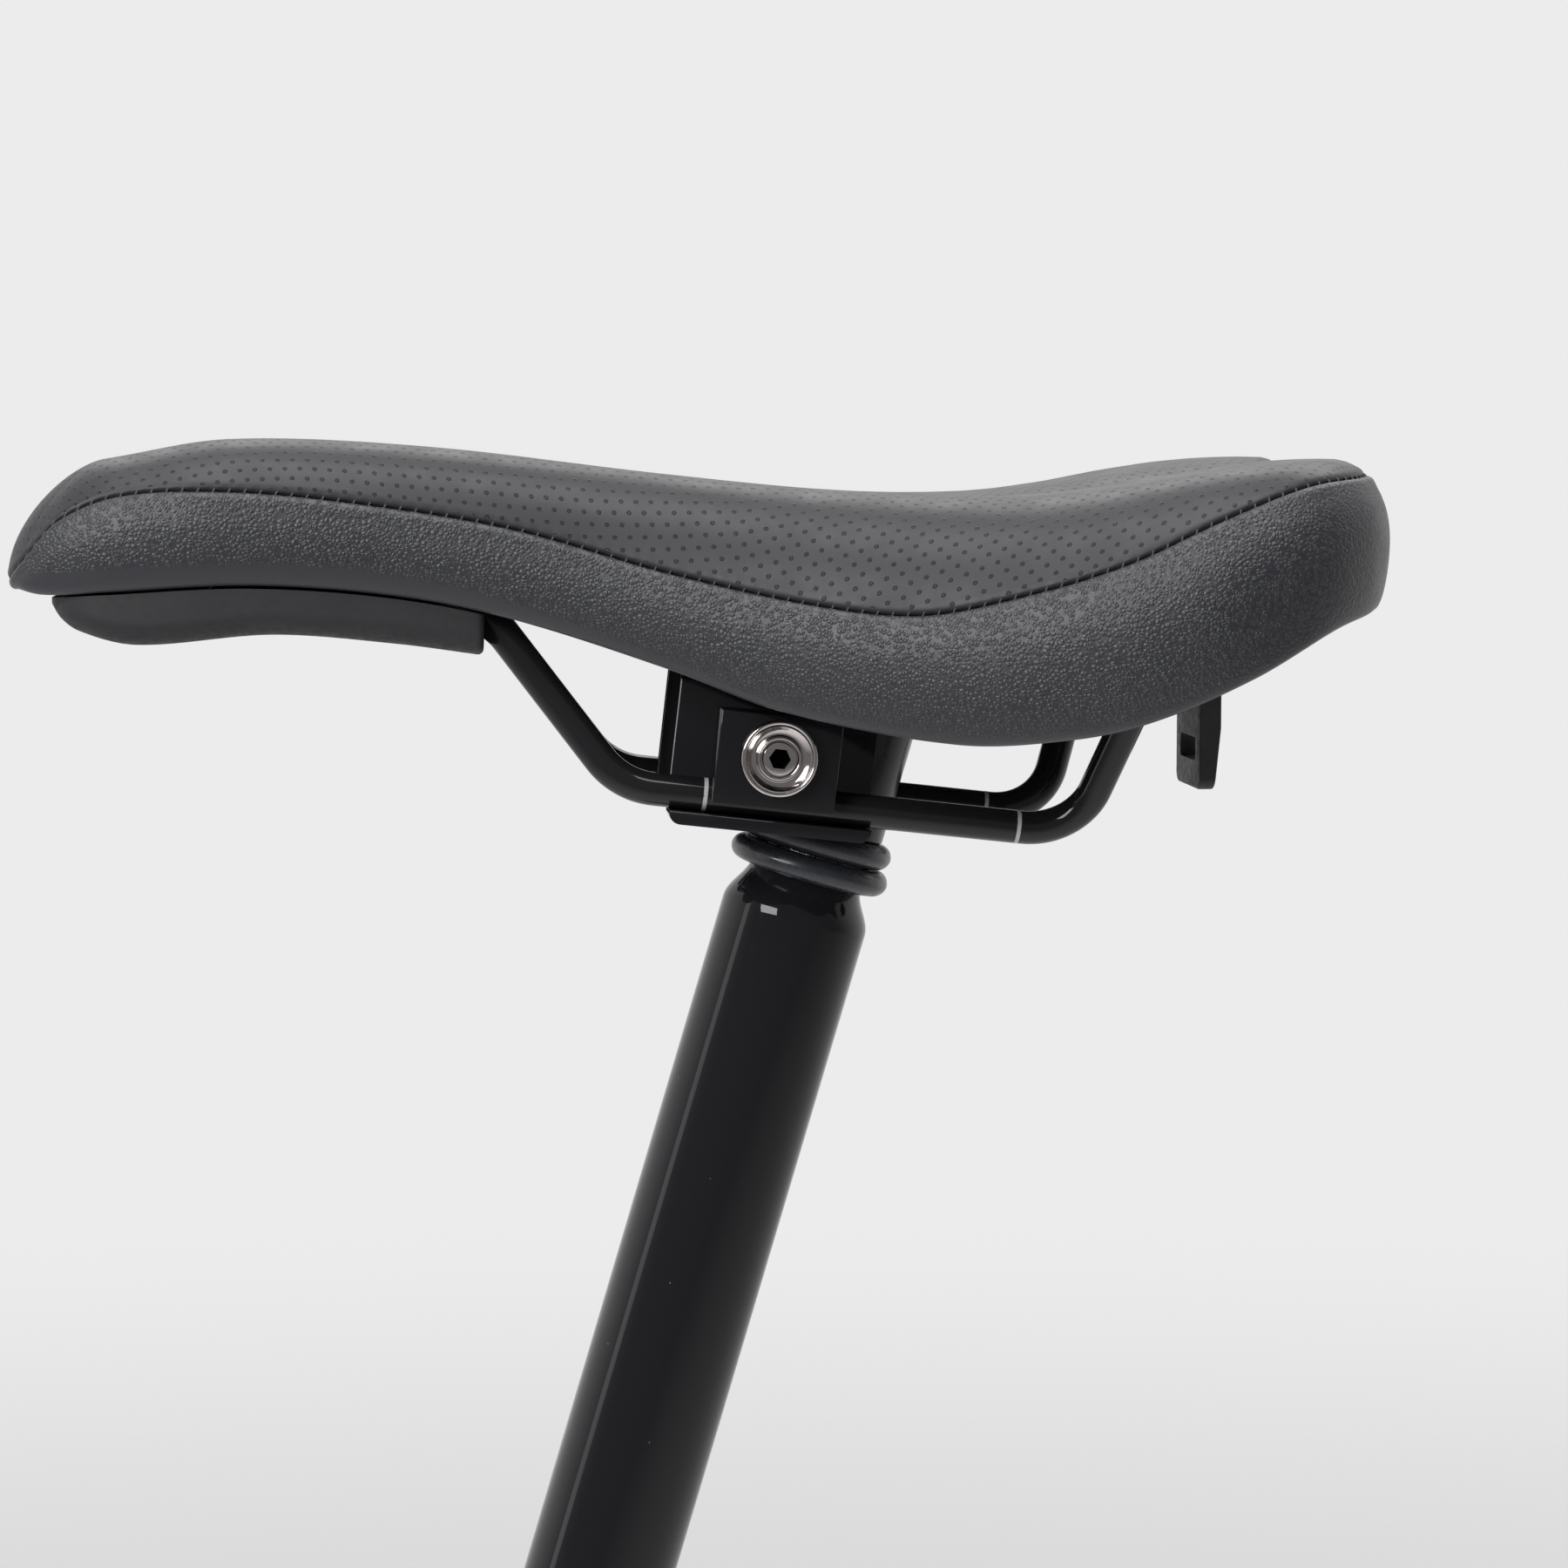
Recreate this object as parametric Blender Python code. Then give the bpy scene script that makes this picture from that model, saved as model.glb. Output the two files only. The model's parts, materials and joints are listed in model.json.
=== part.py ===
"""Suspension seatpost with its padded saddle, modelled in metres with +Z up.

The origin is the centre of the post's bottom end. The post leans back towards +X as it does in a
bicycle frame, the saddle's nose points along -X, and the left side is -Y. Every piece is a solid
of its own, and the empties mark the frames in which the pieces move:

  post_frame    along the leaning post, its local Z is the height up the post
  shaft_frame   the sliding inner shaft and what is fixed to it
  seat_frame    the spring seat, and plug_frame the plug that screws it up or down
  clamp_frame   on the clamp bolt, its local X runs backwards along the saddle rails
  saddle_frame  on the clamp bolt too, but level
"""
import math

import bmesh
import bpy
from mathutils import Matrix, Vector

MM = 0.001

# Post: heights are measured up the post's axis from its bottom end.
POST_LEAN = math.radians(16.56)
BOLT_HEIGHT = 350 * MM
BOLT_AHEAD = 16.5 * MM
TUBE_RADIUS = 15.9 * MM
TUBE_BORE = 13.5 * MM
SHAFT_RADIUS = 11.1 * MM
SHAFT_BORE = 9.1 * MM
GAP = 0.3 * MM
MOUTH_HEIGHT = 326.9 * MM
MOUTH_RADIUS = 12.2 * MM
SHOULDER_LENGTH = 10.1 * MM
COLLAR_RADIUS = 13.7 * MM
COLLAR_LOW = 336.7 * MM
COLLAR_HIGH = 361 * MM

# Bump rings on the tube's mouth.
RING_SECTION = 2.5 * MM
LOWER_RING = (14.6 * MM, 328.4 * MM)
UPPER_RING = (13.8 * MM, 334.0 * MM)

# Spring stack inside the tube.
PLUG_LOW = 4 * MM
PLUG_HIGH = 14 * MM
SEAT_HIGH = 17.3 * MM
SPRING_HIGH = 200 * MM
SPRING_RADIUS = 10.2 * MM
SPRING_WIRE = 1.6 * MM
SPRING_TURNS = 12
SHAFT_LOW = 205.3 * MM
SHAFT_HIGH = 362 * MM
LOWER_BUSHING = (210 * MM, 240 * MM)
TOP_OUT = (240.3 * MM, 246.3 * MM)
UPPER_BUSHING = (246.6 * MM, 319.8 * MM)
KEY = (270 * MM, 300 * MM)
KEY_HALF_WIDTH = 1.7 * MM
KEYWAY_FLOOR = 9.9 * MM

# Clamp: the rails run parallel to its local X axis.
RAIL_SLOPE = math.radians(6.5)
RAIL_RADIUS = 3.5 * MM
RAIL_SPREAD = 22 * MM
RAIL_DROP = 9.7 * MM
CRADLE_BACK = 21.5 * MM
CRADLE_FRONT = -21 * MM
CRADLE_TOP = 16 * MM
CRADLE_INNER = 14.2 * MM
CRADLE_OUTER = 18 * MM
LIP_TOP = -13.4 * MM
LIP_LOW = -16.9 * MM
LIP_REACH = 26 * MM
JAW_HALF_LENGTH = 12.75 * MM
JAW_FACE = 29.6 * MM
JAW_TOP = 8.9 * MM
JAW_LOW = -10.8 * MM
BOLT_RADIUS = 3 * MM
BOLT_HOLE = 3.3 * MM
WASHER_SEAT = 29.9 * MM

# Saddle: lengths are measured back from the tip of the nose, heights from the clamp bolt.
NOSE_X = -158.8 * MM
COVER = 1.4 * MM
SHELL = 2.5 * MM
FAN_FRONT = 22
FAN_BACK = 215

# Half of the plan outline, in mm, from the nose tip to the middle of the tail.
OUTLINE = [
    (0, 0), (2.5, 8.5), (8, 14), (17, 18), (35, 20.8), (60, 22.5), (90, 25), (120, 30.5),
    (150, 41), (180, 55), (205, 66.5), (228, 75), (245, 78), (262, 74.5), (274, 64),
    (281, 50), (283.5, 38), (280.5, 22), (277, 9), (275.5, 0),
]
# Each curve below gives, in mm, one height or width of the saddle along its length.
CROWN = [(0, 58), (22, 61.8), (46, 65.5), (86, 64), (139, 58.3), (179, 54.4), (205, 53.9),
         (225, 55.8), (244, 58.9), (262, 61.2), (284, 61.6)]
SEAM = [(0, 40), (10, 46.9), (24, 53.6), (44, 55.2), (67, 53.4), (103, 47.7), (136, 38.5),
        (165, 32.3), (185, 30.7), (205, 35), (225, 41.5), (244, 49.8), (264, 56.5), (284, 58.5)]
SKIRT = [(0, 33), (20, 34.2), (50, 35.6), (79, 33.6), (103, 29), (136, 18.6), (158, 10.5),
         (192, 4.7), (214, 6.3), (229, 10), (249, 18.5), (268, 28), (284, 31.5)]
ROLL = [(0, 20), (60, 19), (120, 22), (180, 30), (230, 30), (262, 20), (284, 12)]
ROUNDNESS = [(0, 1.6), (40, 2.3), (284, 2.2)]
CHANNEL = [(0, 0), (110, 0), (170, 2), (220, 4), (284, 5)]
PAD = [(0, 10), (60, 14), (150, 18), (284, 20)]
CHANNEL_WIDTH = 14
SKIRT_TUCK = 2.5
SHELL_INSET = 4.2


def clear_scene():
    for obj in list(bpy.data.objects):
        bpy.data.objects.remove(obj, do_unlink=True)


def make_material(name, colour, roughness, metallic=0.0):
    material = bpy.data.materials.new(name)
    material.use_nodes = True
    shader = material.node_tree.nodes["Principled BSDF"]
    shader.inputs["Base Color"].default_value = (*colour, 1)
    shader.inputs["Roughness"].default_value = roughness
    shader.inputs["Metallic"].default_value = metallic
    return material


def make_frame(name, parent=None, location=(0, 0, 0), rotation=(0, 0, 0)):
    frame = bpy.data.objects.new(name, None)
    bpy.context.scene.collection.objects.link(frame)
    frame.parent = parent
    frame.location = location
    frame.rotation_euler = rotation
    return frame


def place(name, data, material, frame, rotation=(0, 0, 0)):
    """Put mesh or curve data in the scene as one named piece of the given frame."""
    piece = bpy.data.objects.new(name, data)
    bpy.context.scene.collection.objects.link(piece)
    piece.parent = frame
    piece.rotation_euler = rotation
    if material:
        data.materials.append(material)
    if isinstance(data, bpy.types.Mesh):
        data.shade_smooth()
        data.set_sharp_from_angle(angle=math.radians(35))
    return piece


def mesh_from(mesh_name, bm):
    bmesh.ops.recalc_face_normals(bm, faces=bm.faces)
    mesh = bpy.data.meshes.new(mesh_name)
    bm.to_mesh(mesh)
    bm.free()
    return mesh


def turned(name, profile, segments=32):
    """Mesh of a profile of (radius, height) points turned about Z.

    A profile that starts and ends on the axis makes a solid; any other is a closed loop.
    """
    bm = bmesh.new()
    rings = []
    for radius, height in profile:
        if radius == 0:
            rings.append([bm.verts.new((0, 0, height))])
            continue
        angles = [2 * math.pi * k / segments for k in range(segments)]
        rings.append([bm.verts.new((radius * math.cos(a), radius * math.sin(a), height)) for a in angles])
    pairs = list(zip(rings, rings[1:]))
    if profile[0][0] and profile[-1][0]:
        pairs.append((rings[-1], rings[0]))
    for low, high in pairs:
        for k in range(segments):
            corners = [low[k % len(low)], low[(k + 1) % len(low)],
                       high[(k + 1) % len(high)], high[k % len(high)]]
            corners = list(dict.fromkeys(corners))
            if len(corners) > 2:
                bm.faces.new(corners)
    return mesh_from(name, bm)


def prism_bm(outline, low, high, axis):
    """Outline extruded along an axis; its points are the two other axes in X, Y, Z order."""
    bm = bmesh.new()

    def corner(point, along):
        place_at = list(point)
        place_at.insert("XYZ".index(axis), along)
        return bm.verts.new(place_at)

    first = [corner(point, low) for point in outline]
    last = [corner(point, high) for point in outline]
    bm.faces.new(first)
    bm.faces.new(last)
    for k, start in enumerate(first):
        after = (k + 1) % len(first)
        bm.faces.new((start, first[after], last[after], last[k]))
    bmesh.ops.recalc_face_normals(bm, faces=bm.faces)
    return bm


def soften(bm, width, chosen=lambda edge: True, segments=2):
    """Round the sharp edges that chosen() accepts."""
    edges = [e for e in bm.edges if e.calc_face_angle(0) > math.radians(40) and chosen(e)]
    bmesh.ops.bevel(bm, geom=edges, offset=width, segments=segments, affect="EDGES", profile=0.5)


def arc(centre, radius, start, end, steps):
    """Points on an arc, with the angles in degrees."""
    angles = [math.radians(start + (end - start) * k / steps) for k in range(steps + 1)]
    return [(centre[0] + radius * math.cos(a), centre[1] + radius * math.sin(a)) for a in angles]


def combine(piece, mesh, operation, rotation=(0, 0, 0)):
    """Cut a mesh out of a piece, or unite the two, with a hidden helper object."""
    helper = place(f"{piece.name}_{operation.lower()}", mesh, None, piece.parent, rotation)
    helper.hide_render = True
    helper.display_type = "WIRE"
    modifier = piece.modifiers.new(operation.title(), "BOOLEAN")
    modifier.operation = operation
    modifier.object = helper


def box_mesh(low, high):
    outline = [(low[0], low[1]), (high[0], low[1]), (high[0], high[1]), (low[0], high[1])]
    return mesh_from("box", prism_bm(outline, low[2], high[2], "Z"))


def rod_mesh(centre, radius, low, high, axis, segments=24):
    """Round bar along an axis; centre is in the two other axes."""
    return mesh_from("rod", prism_bm(arc(centre, radius, 0, 360, segments)[:-1], low, high, axis))


def tube_curve(name, points, radius, resolution):
    """Round bar or wire along a list of points."""
    curve = bpy.data.curves.new(name, "CURVE")
    curve.dimensions = "3D"
    curve.bevel_depth = radius
    curve.bevel_resolution = resolution
    curve.use_fill_caps = True
    spline = curve.splines.new("POLY")
    spline.points.add(len(points) - 1)
    for target, point in zip(spline.points, points):
        target.co = (*point, 1)
    return curve


def rounded_path(corners, radii, steps=7):
    """Straight runs between corners, each inner corner rounded by its bend radius."""
    path = [Vector(corners[0])]
    for before, corner, after, radius in zip(corners, corners[1:], corners[2:], radii):
        corner = Vector(corner)
        back = (Vector(before) - corner).normalized()
        ahead = (Vector(after) - corner).normalized()
        half = back.angle(ahead) / 2
        centre = corner + (back + ahead).normalized() * radius / math.sin(half)
        start = (corner + back * radius / math.tan(half) - centre).normalized()
        end = (corner + ahead * radius / math.tan(half) - centre).normalized()
        for k in range(steps + 1):
            path.append(centre + start.slerp(end, k / steps) * radius)
    path.append(Vector(corners[-1]))
    return path


# ---------------------------------------------------------------- post and suspension

def add_post(frame, black, steel, bushing, rubber):
    """Outer tube with its drawn-in mouth, guide bushing and key."""
    mouth = []
    steps = 7
    for k in range(steps + 1):
        part = k / steps
        swell = (TUBE_RADIUS - MOUTH_RADIUS) * (1 + math.cos(math.pi * part)) / 2
        mouth.append((MOUTH_RADIUS + swell, MOUTH_HEIGHT - SHOULDER_LENGTH * (1 - part)))
    lip_bore = SHAFT_RADIUS + GAP
    inside = [(lip_bore, MOUTH_HEIGHT), (lip_bore, 324.6 * MM), (TUBE_BORE, 320.3 * MM), (TUBE_BORE, 0)]
    foot = [(TUBE_RADIUS - 0.4 * MM, 0), (TUBE_RADIUS, 0.4 * MM)]
    place("outer_tube", turned("outer_tube", foot + mouth + inside, 40), black, frame)

    guide = place("upper_guide_bushing", sleeve(UPPER_BUSHING), bushing, frame)
    window = box_mesh((SHAFT_BORE, -KEY_HALF_WIDTH - GAP, KEY[0] - GAP),
                      (TUBE_RADIUS, KEY_HALF_WIDTH + GAP, KEY[1] + GAP))
    combine(guide, window, "DIFFERENCE")
    key_low = (KEYWAY_FLOOR + GAP, -KEY_HALF_WIDTH, KEY[0])
    key_high = (TUBE_BORE - 2 * GAP, KEY_HALF_WIDTH, KEY[1])
    place("anti_rotation_key", box_mesh(key_low, key_high), steel, frame)

    for name, (radius, height) in (("bump_ring_lower", LOWER_RING), ("bump_ring_upper", UPPER_RING)):
        section = arc((radius, height), RING_SECTION, 0, 360, 12)[:-1]
        place(name, turned(name, section, 36), rubber, frame)


def sleeve(span):
    """Plain bushing between the shaft and the tube's bore."""
    inner = SHAFT_RADIUS + GAP
    outer = TUBE_BORE - GAP
    return turned("sleeve", [(inner, span[0]), (outer, span[0]), (outer, span[1]), (inner, span[1])])


def add_springs(frame, seat_frame, plug_frame, steel, spring_steel, rubber, plug_black):
    """Coil spring round an elastomer core, on a seat that a plug in the tube's end carries."""
    low = SEAT_HIGH + GAP + SPRING_WIRE
    high = SPRING_HIGH - GAP - SPRING_WIRE
    steps = SPRING_TURNS * 14
    coil = []
    for k in range(steps + 1):
        angle = 2 * math.pi * SPRING_TURNS * k / steps
        height = low + (high - low) * k / steps
        coil.append((SPRING_RADIUS * math.cos(angle), SPRING_RADIUS * math.sin(angle), height))
    place("main_spring", tube_curve("main_spring", coil, SPRING_WIRE, 1), spring_steel, frame)

    boss = 5 * MM
    boss_high = SEAT_HIGH + 3 * MM
    core = 6.5 * MM
    core_low = boss_high + GAP
    core_profile = [(0, core_low), (core, core_low), (core, SPRING_HIGH), (0, SPRING_HIGH)]
    place("elastomer_core", turned("elastomer_core", core_profile, 24), rubber, frame)

    rim = TUBE_BORE - 0.7 * MM
    seat_low = PLUG_HIGH + GAP
    seat = [(0, seat_low), (rim, seat_low), (rim, SEAT_HIGH),
            (boss, SEAT_HIGH), (boss, boss_high), (0, boss_high)]
    place("spring_seat", turned("spring_seat", seat), steel, seat_frame)

    thread = TUBE_BORE - 0.4 * MM
    lead = 0.8 * MM
    plug = [(0, PLUG_LOW), (thread - lead, PLUG_LOW), (thread, PLUG_LOW + lead),
            (thread, PLUG_HIGH), (0, PLUG_HIGH)]
    body = place("preload_plug", turned("preload_plug", plug), plug_black, plug_frame)
    hexagon = arc((0, 0), 4.6 * MM, 0, 360, 6)[:-1]
    combine(body, mesh_from("hex", prism_bm(hexagon, 0, 10 * MM, "Z")), "DIFFERENCE")


def add_shaft(frame, black, steel, bushing, rubber):
    """Inner shaft, what guides and stops it, and the collar that carries the clamp."""
    tube = [(SHAFT_BORE, SHAFT_LOW), (SHAFT_RADIUS, SHAFT_LOW),
            (SHAFT_RADIUS, SHAFT_HIGH), (SHAFT_BORE, SHAFT_HIGH)]
    shaft = place("inner_shaft", turned("inner_shaft", tube), steel, frame)
    keyway = box_mesh((KEYWAY_FLOOR, -KEY_HALF_WIDTH - GAP, KEY[0] - 8 * MM),
                      (TUBE_RADIUS, KEY_HALF_WIDTH + GAP, KEY[1] + 12 * MM))
    combine(shaft, keyway, "DIFFERENCE")

    place("lower_guide_bushing", sleeve(LOWER_BUSHING), bushing, frame)
    place("top_out_bumper", sleeve(TOP_OUT), rubber, frame)

    spigot = SHAFT_BORE - GAP
    flange = TUBE_BORE - 0.9 * MM
    foot_low = SPRING_HIGH + GAP
    foot_high = SHAFT_LOW - GAP
    spigot_length = 10 * MM
    foot = [(0, foot_low), (flange, foot_low), (flange, foot_high), (spigot, foot_high),
            (spigot, foot_high + spigot_length), (0, foot_high + spigot_length)]
    place("shaft_foot", turned("shaft_foot", foot), bushing, frame)

    cap_low = SHAFT_HIGH + GAP
    cap_high = cap_low + 2.1 * MM
    plug_low = cap_low - 6 * MM
    edge = 0.6 * MM
    cap = [(0, plug_low), (spigot, plug_low), (spigot, cap_low), (SHAFT_RADIUS, cap_low),
           (SHAFT_RADIUS, cap_high - edge), (SHAFT_RADIUS - edge, cap_high), (0, cap_high)]
    place("shaft_top_cap", turned("shaft_top_cap", cap), bushing, frame)

    bore = SHAFT_RADIUS + GAP
    edge = 0.5 * MM
    ring = [(bore, COLLAR_LOW), (COLLAR_RADIUS - edge, COLLAR_LOW), (COLLAR_RADIUS, COLLAR_LOW + edge),
            (COLLAR_RADIUS, COLLAR_HIGH - edge), (COLLAR_RADIUS - edge, COLLAR_HIGH), (bore, COLLAR_HIGH)]
    collar = place("clamp_collar", turned("clamp_collar", ring, 36), black, frame)
    ear = 9.3 * MM
    ear_reach = 13.3 * MM
    ear_root = -9 * MM
    ears = [(ear_root, BOLT_HEIGHT + ear)] + arc((-BOLT_AHEAD, BOLT_HEIGHT), ear, 90, 270, 8)
    ears.append((ear_root, BOLT_HEIGHT - ear))
    combine(collar, mesh_from("ears", prism_bm(ears, -ear_reach, ear_reach, "Y")), "UNION")
    combine(collar, rod_mesh((0, 0), bore, COLLAR_LOW - MM, COLLAR_HIGH + MM, "Z", 32), "DIFFERENCE")
    slit = 1.2 * MM
    slit_mesh = box_mesh((-30 * MM, -slit, COLLAR_LOW - MM), (ear_root, slit, COLLAR_HIGH + MM))
    combine(collar, slit_mesh, "DIFFERENCE")
    hole = rod_mesh((-BOLT_AHEAD, BOLT_HEIGHT), BOLT_HOLE, -LIP_REACH, LIP_REACH, "Y")
    combine(collar, hole, "DIFFERENCE")


# ---------------------------------------------------------------- rail clamp

def add_cradle(frame, black):
    """U-shaped inner jaw: two walls with a lip under each rail, joined by a front wall."""
    walls = []
    wall_low = -12.9 * MM
    lip_root = 17 * MM
    step_out = CRADLE_OUTER - 0.6 * MM
    step_low = CRADLE_TOP - 2.4 * MM
    for side in (-1, 1):
        section = [
            (CRADLE_INNER, wall_low), (CRADLE_INNER, CRADLE_TOP), (step_out, CRADLE_TOP),
            (step_out, step_low), (CRADLE_OUTER, step_low), (CRADLE_OUTER, LIP_TOP),
            (LIP_REACH, LIP_TOP), (LIP_REACH, LIP_LOW), (lip_root, LIP_LOW), (lip_root, wall_low),
        ]
        bm = prism_bm([(side * y, z) for y, z in section], CRADLE_FRONT, CRADLE_BACK, "X")

        def is_lip_end(edge):
            ends = [v.co for v in edge.verts]
            return all(abs(v.z - LIP_LOW) < MM / 10 for v in ends) and abs(ends[0].y - ends[1].y) > MM

        soften(bm, 2.5 * MM, is_lip_end, 4)
        soften(bm, 0.35 * MM, lambda e: max(abs(v.co.y) for v in e.verts) > CRADLE_OUTER - MM, 1)
        walls.append(mesh_from("cradle_wall", bm))
    cradle = place("rail_cradle", walls[0], black, frame)
    combine(cradle, walls[1], "UNION")
    front = box_mesh((CRADLE_FRONT + 0.1 * MM, -15.5 * MM, -12.7 * MM),
                     (CRADLE_FRONT + 3.5 * MM, 15.5 * MM, CRADLE_TOP - 0.2 * MM))
    combine(cradle, front, "UNION")
    combine(cradle, rod_mesh((0, 0), BOLT_HOLE, -JAW_FACE, JAW_FACE, "Y"), "DIFFERENCE")


def add_outer_jaw(name, side, frame, black):
    """Square plate outside a rail, with a block that bears on the rail from above."""
    inner = CRADLE_OUTER + 0.4 * MM
    groove = RAIL_RADIUS + GAP
    section = [(inner, JAW_TOP), (JAW_FACE, JAW_TOP), (JAW_FACE, JAW_LOW), (RAIL_SPREAD + groove, JAW_LOW)]
    section += arc((RAIL_SPREAD, -RAIL_DROP), groove, 0, 90, 5) + [(inner, -RAIL_DROP + groove)]
    bm = prism_bm([(side * y, z) for y, z in section], -JAW_HALF_LENGTH, JAW_HALF_LENGTH, "X")
    soften(bm, 0.4 * MM, lambda e: max(abs(v.co.y) for v in e.verts) > JAW_FACE - MM / 10)
    jaw = place(name, mesh_from(name, bm), black, frame)
    ends = sorted((side * CRADLE_INNER, side * (JAW_FACE + MM)))
    combine(jaw, rod_mesh((0, 0), BOLT_HOLE, *ends, "Y"), "DIFFERENCE")


def add_clamp_bolt(frame, chrome):
    """Cross bolt with a dished washer under each head and a screw in its far end."""
    outward = {"left": (math.pi / 2, 0, 0), "right": (-math.pi / 2, 0, 0)}
    dish = [(3.25, 0), (7.6, 0), (8, 0.4), (8, 1.9), (7.7, 2.3), (7.2, 2.3), (6.7, 1.6), (5.9, 0.9),
            (5.2, 0.9), (4.5, 1.8), (4.1, 2.0), (3.85, 1.8), (3.85, 0.7), (3.25, 0.7)]
    for side, rotation in outward.items():
        profile = [(radius * MM, WASHER_SEAT + rise * MM) for radius, rise in dish]
        name = f"cup_washer_{side}"
        place(name, turned(name, profile), chrome, frame, rotation)

    head_low = WASHER_SEAT + MM
    head_high = head_low + 1.3 * MM
    head_radius = 3.55 * MM
    head = [(head_radius, head_low), (head_radius, head_high - 0.3 * MM), (head_radius - 0.3 * MM, head_high)]
    far_end = -29.2 * MM
    screw_bore = 1.9 * MM
    bore_end = -15 * MM
    shank = [(0, bore_end), (screw_bore, bore_end), (screw_bore, far_end), (BOLT_RADIUS, far_end)]
    bolt_profile = shank + [(BOLT_RADIUS, head_low)] + head + [(0, head_high)]
    bolt = place("clamp_bolt", turned("clamp_bolt", bolt_profile, 24), chrome, frame, outward["left"])
    screw = 1.6 * MM
    tip = 17 * MM
    screw_profile = [(0, tip), (screw, tip), (screw, head_low)] + head + [(0, head_high)]
    screw_mesh = turned("clamp_end_screw", screw_profile, 24)
    end_screw = place("clamp_end_screw", screw_mesh, chrome, frame, outward["right"])
    for piece, side in ((bolt, "left"), (end_screw, "right")):
        hexagon = arc((0, 0), 2.3 * MM, 0, 360, 6)[:-1]
        socket = mesh_from("socket", prism_bm(hexagon, head_low + 0.2 * MM, head_high + MM, "Z"))
        combine(piece, socket, "DIFFERENCE", outward[side])


# ---------------------------------------------------------------- saddle

def smooth(points, x):
    """Smooth curve through (x, value) points, level beyond its ends."""
    x = min(max(x, points[0][0]), points[-1][0])
    k = max(i for i in range(len(points) - 1) if points[i][0] <= x)
    (x0, y0), (x1, y1) = points[k], points[k + 1]

    def slope(i):
        before, after = points[max(i - 1, 0)], points[min(i + 1, len(points) - 1)]
        return (after[1] - before[1]) / (after[0] - before[0])

    t = (x - x0) / (x1 - x0)
    rise = y1 - y0
    span = x1 - x0
    m0, m1 = slope(k) * span, slope(k + 1) * span
    return y0 + t * m0 + t * t * (3 * rise - 2 * m0 - m1) + t ** 3 * (m0 + m1 - 2 * rise)


def plan_outline():
    """The outline's points, all the way round: the left side first, then the right side."""
    left = [(x, -y) for x, y in OUTLINE]
    right = [(x, y) for x, y in reversed(OUTLINE[1:-1])]
    return left + right


def spine_of(x):
    """Point of the centre line from which the section through outline point x starts."""
    return min(max(x, FAN_FRONT), FAN_BACK)


class Section:
    """Vertical section of the saddle from its centre line out to one outline point, in mm."""

    def __init__(self, x, y):
        self.start = spine_of(x)
        self.run = (x - self.start, y)
        self.reach = math.hypot(*self.run)
        self.roll = min(smooth(ROLL, x), 0.95 * self.reach)
        self.seam = min(smooth(SEAM, x), self.crown(self.reach - self.roll) - 3)
        self.bottom = smooth(SKIRT, x)
        self.widest = self.bottom + 0.45 * (self.seam - self.bottom)
        self.power = smooth(ROUNDNESS, x)

    def at(self, radius, height):
        """Place in the saddle's frame of a point of the section."""
        part = radius / self.reach
        x = self.start + part * self.run[0]
        return Vector((NOSE_X + x * MM, part * self.run[1] * MM, height * MM))

    def crown(self, radius):
        part = radius / self.reach
        x = self.start + part * self.run[0]
        channel = smooth(CHANNEL, x) * math.exp(-(part * self.run[1] / CHANNEL_WIDTH) ** 2)
        return smooth(CROWN, x) - channel

    def above(self, radius):
        """Height of the skin above its widest line."""
        part = max(0, (radius - self.reach + self.roll) / self.roll)
        fall = (1 - part ** self.power) ** (1 / self.power)
        return self.widest + (self.crown(radius) - self.widest) * fall

    def skin(self, top_steps=4, roll_steps=3, side_steps=3):
        """Points of the skin from the centre to the seam, and from the seam to the skirt's edge."""
        flat = self.reach - self.roll
        low, high = flat, self.reach
        for _ in range(40):
            middle = (low + high) / 2
            if self.above(middle) > self.seam:
                low = middle
            else:
                high = middle
        radii = [flat * k / top_steps for k in range(top_steps)]
        radii += [flat + (low - flat) * math.sin(math.pi / 2 * k / roll_steps) for k in range(roll_steps + 1)]
        top = [(r, self.above(r)) for r in radii]
        side = [top[-1], (self.reach, self.widest)]
        for k in range(1, side_steps):
            angle = math.pi / 2 * k / (side_steps - 1)
            side.append((self.reach - SKIRT_TUCK * (1 - math.cos(angle)),
                         self.widest - (self.widest - self.bottom) * math.sin(angle)))
        return top, side

    def shell(self):
        """Upper face of the plastic shell, from the centre to its edge inside the skirt."""
        edge = self.reach - SKIRT_TUCK - SHELL_INSET
        points = []
        for part in (0, 0.35, 0.65, 0.88, 1):
            radius = part * edge
            middle = self.crown(radius) - smooth(PAD, self.start + part * self.run[0])
            drop = part ** 4
            points.append((radius, middle * (1 - drop) + (self.bottom + SHELL / MM + GAP / MM) * drop))
        return points


def inset(points, depth):
    """Polyline of (radius, height) points moved inwards, to the right of its direction."""
    moved = []
    for k, (r, z) in enumerate(points):
        before = points[max(k - 1, 0)]
        after = points[min(k + 1, len(points) - 1)]
        dr, dz = after[0] - before[0], after[1] - before[1]
        if k == 0 and r == 0:
            dz = 0
        length = math.hypot(dr, dz)
        moved.append((r + dz / length * depth, z - dr / length * depth))
    return moved


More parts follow.
